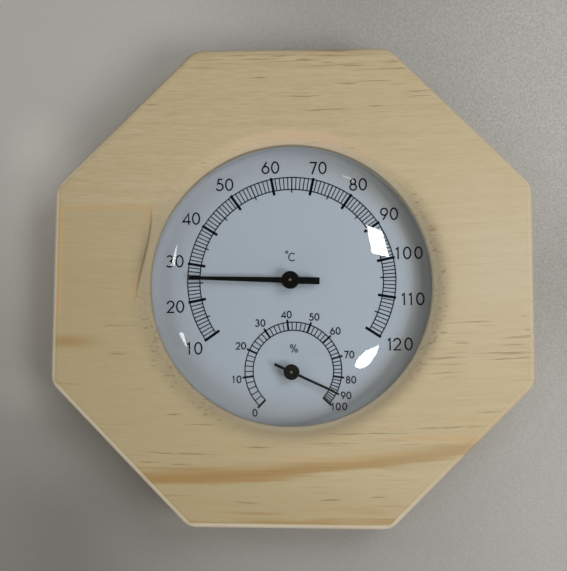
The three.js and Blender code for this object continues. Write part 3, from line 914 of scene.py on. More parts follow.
    def block(self, b: Board, colour: Socket) -> Socket:
        """The block let in at the left: a straight top edge, and a curved one with a crack at its right.

        Args:
            b: the board.
            colour: so far.

        Returns:
            The colour.
        """
        g, (across, height) = b.g, b.face
        past = g.math("SUBTRACT", across, g.curve(height, *fitted(np.array(self.block_edge), 3)))
        inside = g.times(g.between(past, 0.4, -0.4), g.between(height, self.block_top, self.block_top - 0.7))
        body = g.times(inside, g.between(height, -24.0, -6.0), g.spread(b.threads, 0.5, 1.0))
        top_rim = g.times(inside, g.between(height, self.block_top - 3.4, self.block_top - 1.0),
                          g.spread(b.threads, 0.3, 1.0))
        glow = g.times(inside, g.between(past, -4.0, -0.6), g.between(height, -8.0, -2.0),
                       g.between(g.apart(height, 12.0), 6.0, 13.0))
        crack = g.times(g.ridge(past, 0.0, 0.7), g.plateau(height, *self.crack))
        shade = g.times(g.plateau(past, *self.crack_shade), g.ridge(height, 10.0, 12.0))
        spot = g.times(g.ridge(across, -79.0, 16.0), g.ridge(height, -20.6, 3.6))
        side = g.times(g.ridge(across, -82.4, 1.4), g.plateau(height, *self.side_line))
        warm = g.add(g.most(g.times(top_rim, 0.62), g.times(glow, 0.6)), g.times(side, 0.7))
        colour = g.mix(g.times(body, 0.4), colour, self.olive)
        colour = g.mix(warm, colour, self.honey)
        colour = g.mix(g.times(spot, 0.8), colour, self.amber)
        return g.mix(g.add(g.times(crack, 0.76), g.times(shade, 0.46)), colour, self.dark)

    def shoulder(self, b: Board, colour: Socket) -> Socket:
        """The round shoulder: painted shade, darker towards the opening except at the top, a painted cool
        reflection of the glass along its edge, and a painted shadow line at the edge itself.

        A painted warm highlight lies at the top, and torn specks left and right.

        Args:
            b: the board.
            colour: so far.

        Returns:
            The colour.
        """
        g, (across, height) = b.g, b.face
        out = g.add(g.radius(b.face), -self.opening)
        ring = g.between(out, 6.5, 3.8)
        upper = g.between(height, 18.0, 44.0)
        # painted shade, darker towards the opening and lighter at the top
        worn = g.times(g.between(out, 8.5, 1.5), g.spread(upper, 0.52, 0.0))
        # painted warm highlight at the top of the shoulder
        tint = g.times(ring, g.between(height, 36.0, 52.0), g.ridge(across, 4.0, 50.0), 0.5)
        # painted cool reflection of the glass along the opening's edge
        film = g.times(g.between(out, 2.5, 0.2), g.spread(g.between(across, -30.0, 10.0), 0.15, 0.7))
        # painted shadow line where the wood meets the glass
        line = g.times(g.between(out, 0.35, 0.1), g.spread(upper, 0.12, 0.45))
        sides = g.most(g.times(g.between(across, -12.0, -34.0), g.between(height, 6.0, -14.0)),
                       g.times(g.between(across, 36.0, 46.0), g.between(g.apart(height), 44.0, 30.0)))
        flecks = g.between(g.noise(b.place, Clouds.FLECKS.value, 2.0, 0.6), 0.56, 0.68)
        layers = ((worn, self.worn), (tint, self.salmon), (film, self.film), (line, self.dark),
                  (g.times(ring, sides, flecks, 0.42), self.dark))
        for share, tone in layers:
            colour = g.mix(share, colour, tone)
        return colour

    def lines(self, b: Board, colour: Socket) -> Socket:
        """The short dark lines, each placed, on a wavering copy of the place, and many faint ones.

        Args:
            b: the board.
            colour: so far.

        Returns:
            The colour.
        """
        g, (across, height) = b.g, b.face
        bent = g.lifted(b.place, g.times(g.noise(b.place, Clouds.WAVER.value), self.mark_waver))
        lefts = EYE.on_front([(start, down) for start, _, down in self.mark_pixels])
        rights = EYE.on_front([(end, down) for _, end, down in self.mark_pixels])
        x, up = ((lefts + rights) / 2 * MM).T
        z = up + (self.mark_lift + MIDDLE) * MM - self.tilt * x - self.bend * x ** 2
        reach = (rights - lefts)[:, 0] / 2 * self.mark_stretch * MM
        placed: Input = 0.0
        for mark in zip(x, z, reach):
            values = dict(zip(("X", "Z", "Reach"), mark), Vector=bent, Y=FRONT * MM,
                          Thickness=self.mark_thickness * MM)
            streak = g.node("Group", values, node_tree=EFFECTS["streak"])
            placed = g.most(placed, streak.outputs["Mask"])
        ragged = g.between(g.noise(b.place, Clouds.RAGGED.value), 0.25, 0.6)
        thin = g.noise(b.place, Clouds.THIN.value, 1.0)
        right = g.times(g.between(across, 36.0, 50.0), g.ridge(height, -22.0, 13.0))
        busy = g.times(g.most(g.between(height, 74.0, 80.0), right), g.between(b.depth, 4.0, 1.5))
        faint = g.add(g.times(g.between(thin, 0.66, 0.76), 0.2),
                      g.times(g.between(thin, 0.58, 0.68), busy, 0.34))
        return g.mix(g.add(g.times(placed, ragged, 0.62), faint), colour, self.dark)

    def edges(self, b: Board, colour: Socket) -> Socket:
        """The paler, harder sanded front edge, partly a painted highlight that makes it clearest at the lower
        left, with a dark line where its rounding meets the face.

        The edge is found by the greatest distance along the octagon's four axes.

        Args:
            b: the board.
            colour: so far.

        Returns:
            The colour.
        """
        g, slant = b.g, math.sqrt(0.5)
        axes = ((1.0, 0.0), (0.0, 1.0), (slant, slant), (slant, -slant))
        out = g.add(g.most(*[g.apart(g.along(b.face, axis)) for axis in axes]), -self.flats)
        rim = g.times(g.between(out, -1.9, -1.2), g.between(b.depth, 2.6, 1.6))
        # a dark line where the rounding meets the flat face, stronger towards the lower left
        edge_line = g.times(g.ridge(out, -2.1, 0.35), g.between(b.depth, 1.0, 0.5))
        # painted highlight: the pale edge is strongest towards the lower left
        lower = g.between(g.along(b.face, (-0.7, -0.7)), -2.0, 42.0)
        colour = g.mix(g.times(rim, g.spread(lower, 0.1, 0.75)), colour, self.sanded)
        return g.mix(g.times(edge_line, g.spread(lower, 0.04, 0.16)), colour, self.dark)


@dataclass(frozen=True)
class Backdrop(Finish):
    """Grained grey vinyl behind the instrument, with painted light and shadow, seen only from its front."""

    # painted light and shade: the wall's tone at each corner and in the middle
    upper_left: Colour = (0.57, 0.545, 0.505)
    upper_right: Colour = (0.50, 0.485, 0.453)
    lower_left: Colour = (0.285, 0.275, 0.245)
    lower_right: Colour = (0.475, 0.455, 0.43)
    middle: Colour = (0.37, 0.36, 0.335)
    reach: float = 100.0

    def dress(self, g: Coat) -> None:
        """Painted light and shade as tones of the corners and the middle, mixed, with grain and a painted
        sheen that grows towards the upper right, for camera rays on the front only.

        Args:
            g: the material's tree.
        """
        x, z, _ = g.face(g.place)
        across, up = g.between(x, -self.reach, self.reach), g.between(z, -self.reach, self.reach)
        upper = g.mix(across, self.upper_left, self.upper_right)
        lower = g.mix(across, self.lower_left, self.lower_right)
        tone = g.mix(g.times(g.ridge(x, 25.0, 85.0), 0.7), g.mix(up, lower, upper), self.middle)
        grain = g.noise(g.place, 1500.0, 1.0)
        # painted sheen: the grain stands out more towards the upper right
        sheen_swing = g.spread(g.times(across, g.spread(up, 0.4, 1.0)), 0.08, 0.75)
        level = g.add(g.times(g.add(grain, -0.5), sheen_swing), 1.0, self.patches(g, x, z))
        grey = g.node("CombineColor", {0: level, 1: level, 2: level}).outputs[0]
        g.finish({"Base Color": g.mix(1.0, tone, grey, "MULTIPLY"), "Roughness": 0.55}, grain, 0.00008)
        path, side = g.node("LightPath").outputs, g.node("NewGeometry").outputs
        shown = g.times(path["Is Camera Ray"], g.math("SUBTRACT", 1.0, side["Backfacing"]))
        g.surface(shown, g.node("BsdfTransparent"), g.shader)

    @staticmethod
    def patches(g: Graph, x: Socket, z: Socket) -> Socket:
        """A painted light patch left of the instrument, a painted shadow below it, and a painted shadow at
        the right.

        Args:
            g: the material's tree.
            x: millimetres to the right of the middle.
            z: millimetres up from it.

        Returns:
            How much brighter each place is.
        """
        # painted light beside the instrument's left side
        pale = g.times(g.ridge(x, -96.0, 24.0), g.plateau(z, -55.0, -35.0, 45.0, 75.0), 0.36)
        # painted shadow below the instrument's lower left
        below = g.times(g.ridge(x, -83.0, 40.0), g.between(z, -60.0, -85.0), -0.16)
        # painted shadow at the right of the instrument
        right = g.times(g.ridge(x, 97.0, 30.0), g.ridge(z, 3.0, 40.0), -0.14)
        return g.add(pale, below, right)


PINE = Pine("sanded_pine")
GLASS = ClearGlass("polished_glass")
ENAMEL = Enamel("satin_enamel", (0.56, 0.60, 0.69), (0.60, 0.64, 0.73), 0.0004, 1.0, (0.42, 0.5), 0.000006)
INK = Moulded("printed_ink", (0.002, 0.002, 0.005), (0.006, 0.006, 0.011), 0.0002, 1.4, (0.5, 0.65),
              relief=0.000006, shine=0.1)
LACQUER = Moulded("black_lacquer", (0.002, 0.0018, 0.0016), (0.005, 0.0045, 0.004), 0.0003, 1.3,
                  (0.45, 0.62), relief=0.00001, shine=0.15)
PIVOT = Moulded("ground_pivot", (0.50, 0.42, 0.34), (0.36, 0.29, 0.23), 0.0002, 1.0, (0.35, 0.5), 0.000004)
SPACER = Moulded("pale_moulding", (0.52, 0.56, 0.60), (0.60, 0.64, 0.68), 0.0004, 1.0, (0.4, 0.55), 0.00001)
COVER = Moulded("black_moulding", (0.018, 0.018, 0.020), (0.035, 0.035, 0.038), 0.00035, 1.5, (0.5, 0.7),
                0.00005)
ZINC = Metal("zinc_plating", (0.66, 0.67, 0.68), (0.42, 0.43, 0.44))
STEEL = Metal("ground_steel", (0.27, 0.22, 0.16), (0.13, 0.10, 0.07), (0.35, 0.55))
BRASS = Metal("turned_brass", (0.78, 0.58, 0.27), (0.48, 0.33, 0.14))
BIMETAL = Metal("rolled_bimetal", (0.50, 0.44, 0.36), (0.33, 0.28, 0.22), (0.3, 0.5))
WALL = Backdrop("wall_vinyl")
FLOOR = Moulded("floor_vinyl", (0.62, 0.61, 0.585), (0.66, 0.65, 0.625), 0.002, 1.2, (0.5, 0.65), 0.0001)


# Sub-assemblies


class Assembly:
    """What the sub-assemblies share: how a made piece and a kept solid get their finish and their body."""

    body = CASE

    def keep(self, made: bpy.types.Object, finish: Finish, slot: str, *stands_for: str) -> bpy.types.Object:
        """Dresses a piece and gives it to its body.

        Args:
            made: the piece.
            finish: its finish.
            slot: the record's material slot, not used.
            stands_for: the solids that it replaces.

        Returns:
            The piece.
        """
        made.data.materials.clear()
        made.data.materials.append(finish.material())
        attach(made, self.body)
        if stands_for:
            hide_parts(*stands_for)
        log.info("%s: %d faces, rides on %s", made.name, len(made.data.polygons), self.body)
        return made

    @staticmethod
    def dress_solids(finish: Finish, *names: str) -> None:
        """Gives a finish to solids that keep their shape.

        Args:
            finish: of them all.
            names: of the solids.
        """
        for name in names:
            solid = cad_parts[name]
            if not solid.material_slots:
                solid.data.materials.append(finish.material())
            for entry in solid.material_slots:
                entry.material = finish.material()
            log.info("%s: solid kept", name)


@dataclass
class WoodFrame(Assembly):
    """The octagonal frame: round front edge, round shoulder, lip, rebate, cover seat and pocket."""

    sides: int = 8
    apothem: float = 85.0
    corner_radius: float = 7.0
    front_edge: float = 2.1
    back_edge: float = 0.8
    thickness: float = -FRONT
    sight_radius: float = 50.2
    shoulder_width: float = 5.8
    shoulder_radius: float = 7.2
    lip_round: float = 0.4
    lip_depth: float = 5.4919
    rebate_radius: float = 52.4
    cover_seat_radius: float = 60.6
    cover_seat_depth: float = 21.1982
    guard: float = 0.3  # width of the flat strip beside a rounding, which keeps the flat's shading even
    corner_steps: int = 12
    side_steps: int = 20
    shoulder_steps: int = 14
    lip_steps: int = 5
    front_steps: int = 8
    back_steps: int = 4
    sharp: float = 22.0

    def outline(self, inset: float) -> np.ndarray:
        """The octagon drawn in by an inset.

        Each corner is an arc round a point at (apothem - radius) / cos 22.5 degrees, and each side is
        the straight run to the next corner's arc, cut into even steps.

        Args:
            inset: how far it is drawn in.

        Returns:
            Points (x, z).
        """
        half = 180 / self.sides
        radius = self.corner_radius - inset
        reach = (self.apothem - self.corner_radius) / math.cos(math.radians(half))
        corners = []
        for middle in (2 * np.arange(self.sides) + 1) * half:
            turn = math.radians(middle)
            centre = (reach * math.cos(turn), reach * math.sin(turn))
            corners.append(arc(centre, (radius, radius), middle - half, middle + half, self.corner_steps - 1))
        share = (np.arange(self.side_steps) + 1)[:, None] / (self.side_steps + 1)
        following = corners[1:] + corners[:1]
        runs = [row[-1] + (after[0] - row[-1]) * share for row, after in zip(corners, following)]
        return np.vstack([part for pair in zip(corners, runs) for part in pair])

    def circle(self, radius: float) -> np.ndarray:
        """A circle, its points in line with the octagon's."""
        rays = self.outline(self.front_edge)
        return rays / np.linalg.norm(rays, axis=1, keepdims=True) * radius

    def edge(self, radius: float, steps: int) -> list[tuple[float, float]]:
        """(inset, depth) from the face round to the side, at radius (1 - sin t) and radius (1 - cos t)."""
        turn = np.linspace(0, math.pi / 2, steps + 1)
        return list(zip(radius * (1 - np.sin(turn)), radius * (1 - np.cos(turn))))

    def shoulder_depth(self, radius: float) -> float:
        """Depth of the shoulder at a radius r: R - sqrt(R^2 - (outer radius - r)^2)."""
        run = self.sight_radius + self.shoulder_width - radius
        return self.shoulder_radius - math.sqrt(self.shoulder_radius ** 2 - run ** 2)

    def bore(self) -> np.ndarray:
        """(radius, depth) from the back of the lip forward over the shoulder to the front face.

        The shoulder is an arc. Its inner edge is eased from the wall's point w to the arc's end e by
        (1 - t)^2 w + 2 t (1 - t) corner + t^2 e.

        Returns:
            The profile.
        """
        outer = self.sight_radius + self.shoulder_width
        lean = math.degrees(math.asin((self.shoulder_width - self.lip_round) / self.shoulder_radius))
        turn = arc((outer, self.shoulder_radius), (self.shoulder_radius,) * 2, -90 - lean, -90,
                   self.shoulder_steps)
        corner = np.array([self.sight_radius, self.shoulder_depth(self.sight_radius)])
        wall = corner + np.array([0, self.lip_round])
        t = np.linspace(0, 1, self.lip_steps + 1)[:-1, None]
        ease = (1 - t) ** 2 * wall + 2 * t * (1 - t) * corner + t ** 2 * turn[0]
        return np.vstack([[[self.sight_radius, self.lip_depth]], ease, turn, [[outer + self.guard, 0.0]]])

    def build(self) -> bpy.types.Object:
        """Lofts the frame as a closed ring of outlines, then cuts the pockets and the pilot holes.

        Returns:
            The frame.
        """
        front = self.edge(self.front_edge, self.front_steps)
        back = self.edge(self.back_edge, self.back_steps)[::-1]
        rows = [(self.outline(self.front_edge + self.guard), 0.0)]
        rows += [(self.outline(inset), depth) for inset, depth in front]
        rows += [(self.outline(0), self.front_edge + self.guard)]
        rows += [(self.outline(0), self.thickness - self.back_edge - self.guard)]
        rows += [(self.outline(inset), self.thickness - depth) for inset, depth in back]
        rows += [(self.outline(self.back_edge + self.guard), self.thickness)]
        rows += [(self.circle(radius), depth) for radius, depth in (
            (self.cover_seat_radius, self.thickness), (self.cover_seat_radius, self.cover_seat_depth),
            (self.rebate_radius, self.cover_seat_depth), (self.rebate_radius, self.lip_depth))]
        rows += [(self.circle(radius), depth) for radius, depth in self.bore()]
        shape = lofted([row for row, _ in rows], [at_depth(depth) for _, depth in rows], ring=True)
        cutters = HANGER.pocket_cutters() + [screw.pilot() for screw in SCREWS]
        made = to_object(shape, "pine_frame", cutters, self.sharp)
        return self.keep(made, PINE, "pine", "wood_frame")


@dataclass
class Screw(Assembly):
    """A countersunk wood screw with a cross recess, its head towards the wall."""

    name: str
    x: float
    z: float
    head_y: float
    head_radius: float
    shank_radius: float
    length: float
    head_land: float
    recess_reach: float
    recess_width: float = 0.6
    recess_depth: float = 0.8
    tip: float = 2.5
    head_round: float = 0.12
    gap: float = 0.3
    steps: int = 48

    def build(self) -> bpy.types.Object:
        """Turns the screw and cuts the cross into its head.

        Returns:
            The screw.
        """
        cone = self.head_y - self.head_land - (self.head_radius - self.shank_radius)
        start, corner, ease = self.head_y - self.length, self.head_round, 0.3 * self.head_round
        profile = np.array([
            [0, start], [self.shank_radius, start + self.tip], [self.shank_radius, cone],
            [self.head_radius, self.head_y - self.head_land], [self.head_radius, self.head_y - corner],
            [self.head_radius - ease, self.head_y - ease], [self.head_radius - corner, self.head_y],
            [0, self.head_y]])
        reach, half = self.recess_reach, self.recess_width / 2
        arms = [np.array([[-a, -b], [a, -b], [a, b], [-a, b]]) for a, b in ((reach, half), (half, reach))]
        cross = [prism(arm, self.head_y - self.recess_depth, self.head_y + PAST) for arm in arms]
        parts = [shape.moved(self.x, 0, self.z) for shape in (turned(profile, self.steps), *cross)]
        made = to_object(parts[0], f"{self.name}_dressed", parts[1:])
        return self.keep(made, ZINC, "zinced_steel", self.name)

    def hole(self) -> Shape:
        """The countersunk hole in the plate that the screw holds.

        Returns:
            The cutter.
        """
        head, shank = self.head_radius + self.gap, self.shank_radius + self.gap
        profile = [[0, self.head_y - self.length], [shank, self.head_y - self.length],
                   [shank, self.head_y - head + shank], [head, self.head_y], [head, self.head_y + PAST],
                   [0, self.head_y + PAST]]
        return turned(np.array(profile), self.steps).moved(self.x, 0, self.z)

    def pilot(self) -> Shape:
        """The hole in the wood.

        Returns:
            The cutter.
        """
        radius = self.shank_radius + self.gap
        deep, high = self.head_y - self.length - PAST, self.head_y + PAST
        profile = np.array([[0, deep], [radius, deep], [radius, high], [0, high]])
        return turned(profile, self.steps).moved(self.x, 0, self.z)


@dataclass
class Hanger(Assembly):
    """The keyhole plate let into the back of the wood, and its pocket for the nail's head."""

    middle: float = 72.8
    seat: float = 75.0
    drop: float = 4.4
    half_width: float = 20.0
    half_height: float = 7.65
    corner_radius: float = 3.0
    thickness: float = 1.2
    mouth_radius: float = 4.5
    slot_radius: float = 2.3
    pocket_half_width: float = 7.5
    pocket_depth: float = 8.0
    gap: float = 0.3
    bevel: float = 0.15
    corner_steps: int = 10
    pocket_steps: int = 8
    mouth_steps: int = 40
    slot_steps: int = 20

    def outline(self, grow: float) -> np.ndarray:
        """The plate's outline.

        Args:
            grow: how far it is grown all round.

        Returns:
            Points (x, z).
        """
        half = self.half_height + grow
        return rounded_rectangle(self.half_width + grow, self.middle - half, self.middle + half,
                                 self.corner_radius + grow, self.corner_steps)

    def pocket_cutters(self) -> list[Shape]:
        """The plate's recess and the deeper pocket behind the keyhole.

        Returns:
            Their cutters.
        """
        pocket = rounded_rectangle(self.pocket_half_width, self.seat - self.drop - self.mouth_radius,
                                   self.seat + self.mouth_radius, self.corner_radius, self.pocket_steps)
        return [prism(self.outline(self.gap), -self.thickness - self.gap, PAST),
                prism(pocket, -self.pocket_depth, PAST)]

    def build(self) -> bpy.types.Object:
        """Stamps the plate with an eased outer edge, its keyhole and its two countersunk holes.

        Returns:
            The plate.
        """
        ease = self.bevel
        rows = [self.outline(-ease), self.outline(0), self.outline(0), self.outline(-ease)]
        heights = [-self.thickness, -self.thickness + ease, -ease, 0]
        mouth = self.seat - self.drop
        shoulder = math.degrees(math.asin(self.slot_radius / self.mouth_radius))
        keyhole = np.vstack([
            arc((0, mouth), (self.mouth_radius,) * 2, 90 + shoulder, 450 - shoulder, self.mouth_steps),
            arc((0, self.seat), (self.slot_radius,) * 2, 0, 180, self.slot_steps)])
        cutters = [prism(keyhole, -self.thickness - PAST, PAST)]
        cutters += [screw.hole() for screw in SCREWS if screw.name.startswith("hanger")]
        made = to_object(lofted(rows, heights), "keyhole_plate", cutters)
        return self.keep(made, ZINC, "zinced_steel", "hanger_plate")


COVER_SCREW_REACH = 39.6333
COVER_SCREW_SIGNS = ((1, 1), (-1, 1), (-1, -1), (1, -1))
HANGER = Hanger()
COVER_SCREW = partial(Screw, head_y=-0.5, head_radius=2.9, shank_radius=1.35, length=10, head_land=0.25,
                      recess_reach=1.7)
HANGER_SCREW = partial(Screw, z=HANGER.middle, head_y=0, head_radius=2.3, shank_radius=1.1, length=8,
                       head_land=0.2, recess_reach=1.35)
SCREWS = [COVER_SCREW(f"cover_screw_{i}", x * COVER_SCREW_REACH, z * COVER_SCREW_REACH)
          for i, (x, z) in enumerate(COVER_SCREW_SIGNS, 1)]
SCREWS += [HANGER_SCREW(f"hanger_screw_{i}", x) for i, x in enumerate((-14, 14), 1)]


@dataclass
class BackCover(Assembly):
    """The moulded cover: flange, clamping rim, air slots and countersunk holes."""

    front: float = -2.5
    back: float = -0.5
    radius: float = 60.1
    edge: float = 0.6
    rim_front: float = -11.53
    rim_inner: float = 50.4
    rim_outer: float = 52.0
    slot_width: float = 2.4
    slot_pitch: float = 6.0
    slot_rows: int = 9
    field_radius: float = 30.0
    field_drop: float = 15.0
    steps: int = 192
    edge_steps: int = 6
    slot_steps: int = 8

    def build(self) -> bpy.types.Object:
        """Turns the cover and cuts its slots, each as long as the round field is wide at its height.

        Returns:
            The cover.
        """
        edge = arc((self.radius - self.edge, self.back - self.edge), (self.edge,) * 2, 0, 90,
                   self.edge_steps)
        profile = np.vstack([
            [[0, self.front], [self.rim_inner, self.front], [self.rim_inner, self.rim_front],
             [self.rim_outer, self.rim_front], [self.rim_outer, self.front], [self.radius, self.front]],
            edge, [[0, self.back]]])
        heights = (np.arange(self.slot_rows) - (self.slot_rows - 1) / 2) * self.slot_pitch
        half = self.slot_width / 2
        slots = [rounded_rectangle(math.sqrt(self.field_radius ** 2 - height ** 2), height - half,
                                   height + half, half, self.slot_steps) for height in heights]
        cutters = [prism(slot, self.front - PAST, PAST).moved(z=-self.field_drop) for slot in slots]
        cutters += [screw.hole() for screw in SCREWS if screw.name.startswith("cover")]
        made = to_object(turned(profile, self.steps), "vented_cover", cutters)
        return self.keep(made, COVER, "cover_plastic", "back_cover")


@dataclass
class Glazing(Assembly):
    """The domed glass and the ring that keeps it off the dial."""

    sight_radius: float = 50.2
    rise: float = 8.8
    thickness: float = 2.0
    seated_radius: float = 52.0
    land_radius: float = 50.6
    apex_depth: float = -3.0081
    rim_depth: float = 8.0682
    spacer_inner: float = 50.4
    spacer_front: float = -15.63
    spacer_back: float = -12.93
    steps: int = 256
    rise_steps: int = 72

    @property
    def curve(self) -> float:
        """Radius of the outer sphere: (half width^2 + rise^2) / (2 rise)."""
        return (self.sight_radius ** 2 + self.rise ** 2) / (2 * self.rise)

    @property
    def centre(self) -> np.ndarray:
        """Middle of both spheres, from the middle of the wood."""
        return np.array([0, at_depth(self.apex_depth + self.curve), 0])

    def cap(self, curve: float, edge: float) -> np.ndarray:
        """(radius, y) of a sphere's cap from the axis out to the edge radius."""
        radius = np.linspace(0, edge, self.rise_steps + 1)
        return np.stack([radius, self.centre[1] - np.sqrt(curve ** 2 - radius ** 2)], 1)

    def build(self) -> list[bpy.types.Object]:
        """Turns the glass between its two spheres, and the spacer ring.

        Returns:
            Both pieces.
        """
        outside = self.cap(self.curve, self.seated_radius)
        inside = self.cap(self.curve - self.thickness, self.land_radius)[::-1]
        profile = np.vstack([outside, [[self.seated_radius, at_depth(self.rim_depth)]], inside])
        dome = to_object(turned(profile, self.steps), "glass_dome")
        corners = [[self.spacer_inner, self.spacer_front], [self.seated_radius, self.spacer_front],
                   [self.seated_radius, self.spacer_back], [self.spacer_inner, self.spacer_back]]
        ring = to_object(turned(np.array(corners), self.steps, ring=True), "spacer_fine")
        return [self.keep(dome, GLASS, "dome_glass", "domed_glass"),
                self.keep(ring, SPACER, "spacer_plastic", "spacer_ring")]


# The printed dial


class Lettering:
    """Thin monoline figures, each a list of strokes in a box one high, drawn from arcs and lines."""

    ring_steps = 28
    bend_steps = 24
    advance = 0.79
    wide_advance = 0.91
    close_pairs = {"11": 0.56, "12": 0.61, "10": 0.77}

    @classmethod
    def figures(cls) -> dict[str, list[tuple[np.ndarray, bool]]]:
        """Strokes of each figure, with True where a stroke closes on itself.

        Returns:
            The strokes by figure.
        """
        def ring(x: float, z: float, wide: float, high: float) -> tuple[np.ndarray, bool]:
            """A whole ellipse."""
            return arc((x, z), (wide, high), 0, 360, cls.ring_steps)[:-1], True

        def line(*points: Point) -> tuple[np.ndarray, bool]:
            """A run of straight lines."""
            return np.array(points, float), False

        def bend(x: float, z: float, wide: float, high: float, start: float, end: float,
                 before: Sequence[Point] = (), after: Sequence[Point] = ()) -> tuple[np.ndarray, bool]:
            """Part of an ellipse, with straight lines before and after it."""
            first, last = (np.array(part, float).reshape(-1, 2) for part in (before, after))
            return np.vstack([first, arc((x, z), (wide, high), start, end, cls.bend_steps), last]), False

        return {
            "0": [ring(0.32, 0.5, 0.28, 0.46)],
            "1": [line((0.18, 0.80), (0.36, 0.94), (0.36, 0.0))],
            "2": [bend(0.32, 0.68, 0.26, 0.27, 175, -38, after=[(0.07, 0.04), (0.62, 0.04)])],
            "3": [bend(0.29, 0.735, 0.22, 0.225, 150, -90), bend(0.29, 0.275, 0.27, 0.235, 90, -155)],
            "4": [line((0.5, 0.0), (0.5, 0.92), (0.03, 0.25), (0.66, 0.25))],
            "5": [bend(0.30, 0.33, 0.29, 0.29, 118, -155, before=[(0.56, 0.96), (0.24, 0.96)])],
            "6": [ring(0.32, 0.32, 0.27, 0.28), line((0.10, 0.47), (0.42, 0.98))],
            "7": [line((0.06, 0.96), (0.60, 0.96), (0.24, 0.0))],
            "8": [ring(0.32, 0.74, 0.20, 0.22), ring(0.32, 0.28, 0.26, 0.24)],
            "9": [ring(0.32, 0.68, 0.27, 0.28), line((0.54, 0.53), (0.22, 0.02))],
            "C": [bend(0.46, 0.5, 0.42, 0.46, 45, 315)],
            "o": [ring(0.0, 1.05, 0.13, 0.13)],
            "%": [ring(0.17, 0.76, 0.15, 0.19), ring(0.72, 0.24, 0.15, 0.19),
                  line((0.20, 0.02), (0.68, 0.98))],
        }

    @classmethod
    def word(cls, text: str, place: Point, height: float, width: float, y: Point) -> Shape:
        """A word set back from its last figure, wider spaced where it has three.

        Args:
            text: the figures.
            place: (x, z) of the last figure's left edge, at half its height.
            height: of the figures.
            width: of the strokes.
            y: front and back of the ink.

        Returns:
            The strokes as one shape.
        """
        figures = cls.figures()
        even = cls.advance if len(text) < 3 else cls.wide_advance
        gaps = [cls.close_pairs.get(text[i:i + 2], even) for i in range(len(text) - 1)]
        shapes = []
        for number, letter in enumerate(text):
            start = -sum(gaps[number:])
            for path, closed in figures[letter]:
                placed = (path + np.array([start, -0.5])) * height + np.array(place)
                shapes.append(stroke(placed, width, *y, closed))
        return Shape.joined(shapes)


@dataclass
class Scale:
    """One printed scale: two arcs, marks at each value, and figures at the tens.

    Angles are clockwise from straight up, in degrees, and the printed tens stand unevenly, so the
    values between them follow a curve of the fifth degree through them.
    """

    name: str
    centre: Point
    outer: float
    inner: float
    arc_width: float
    tens: tuple[float, ...]
    first: int
    last: int
    step: int
    long_marks: Triple
    middle_marks: Triple
    short_marks: Triple
    figures: tuple[Point, ...]
    figure_height: float
    figure_width: float
    degree: int = 5
    arc_steps: int = 160

    def angles(self, values: np.ndarray) -> np.ndarray:
        """Where values stand, by the curve through the tens.

        Args:
            values: on the scale.

        Returns:
            Their angles.
        """
        known = np.linspace(self.first, self.last, len(self.tens))
        half, centre = (self.last - self.first) / 2, (self.last + self.first) / 2
        curve = np.polyfit((known - centre) / half, self.tens, self.degree)
        return np.polyval(curve, (values - centre) / half)

    def at(self, angles: np.ndarray, radius: float) -> np.ndarray:
        """Points (x, z) at angles and one radius: centre + radius (sin a, cos a)."""
        turn = np.radians(angles)
        return np.array(self.centre) + radius * np.stack([np.sin(turn), np.cos(turn)], 1)

    def marks(self, angles: np.ndarray, size: Triple, y: Point) -> Shape:
        """Radial marks at angles, as (from radius, to radius, width)."""
        start, end, width = size
        return bars(self.at(angles, start), self.at(angles, end), width, *y)

    def lines(self, y: Point) -> Shape:
        """The arcs and every mark.

        Args:
            y: front and back of the ink.

        Returns:
            One shape.
        """
        values = np.arange(self.first, self.last + 1, self.step)
        fives = values[(values % 5 == 0) & (values % 10 != 0)]
        plain = values[values % 5 != 0] if len(fives) else values[values % 10 != 0]
        sweep = np.linspace(self.tens[0], self.tens[-1], self.arc_steps)
        parts = [stroke(self.at(sweep, radius), self.arc_width, *y) for radius in (self.outer, self.inner)]
        parts += [self.marks(np.array(self.tens), self.long_marks, y),
                  self.marks(self.angles(plain), self.short_marks, y)]
        if len(fives):
            parts.append(self.marks(self.angles(fives), self.middle_marks, y))
        return Shape.joined(parts)

    def numbers(self, y: Point) -> Shape:
        """The figures at the tens.

        Args:
            y: front and back of the ink.

        Returns:
            One shape.
        """
        values = range(self.first, self.last + 1, 10)
        return Shape.joined([Lettering.word(str(value), place, self.figure_height, self.figure_width, y)
                             for value, place in zip(values, self.figures)])


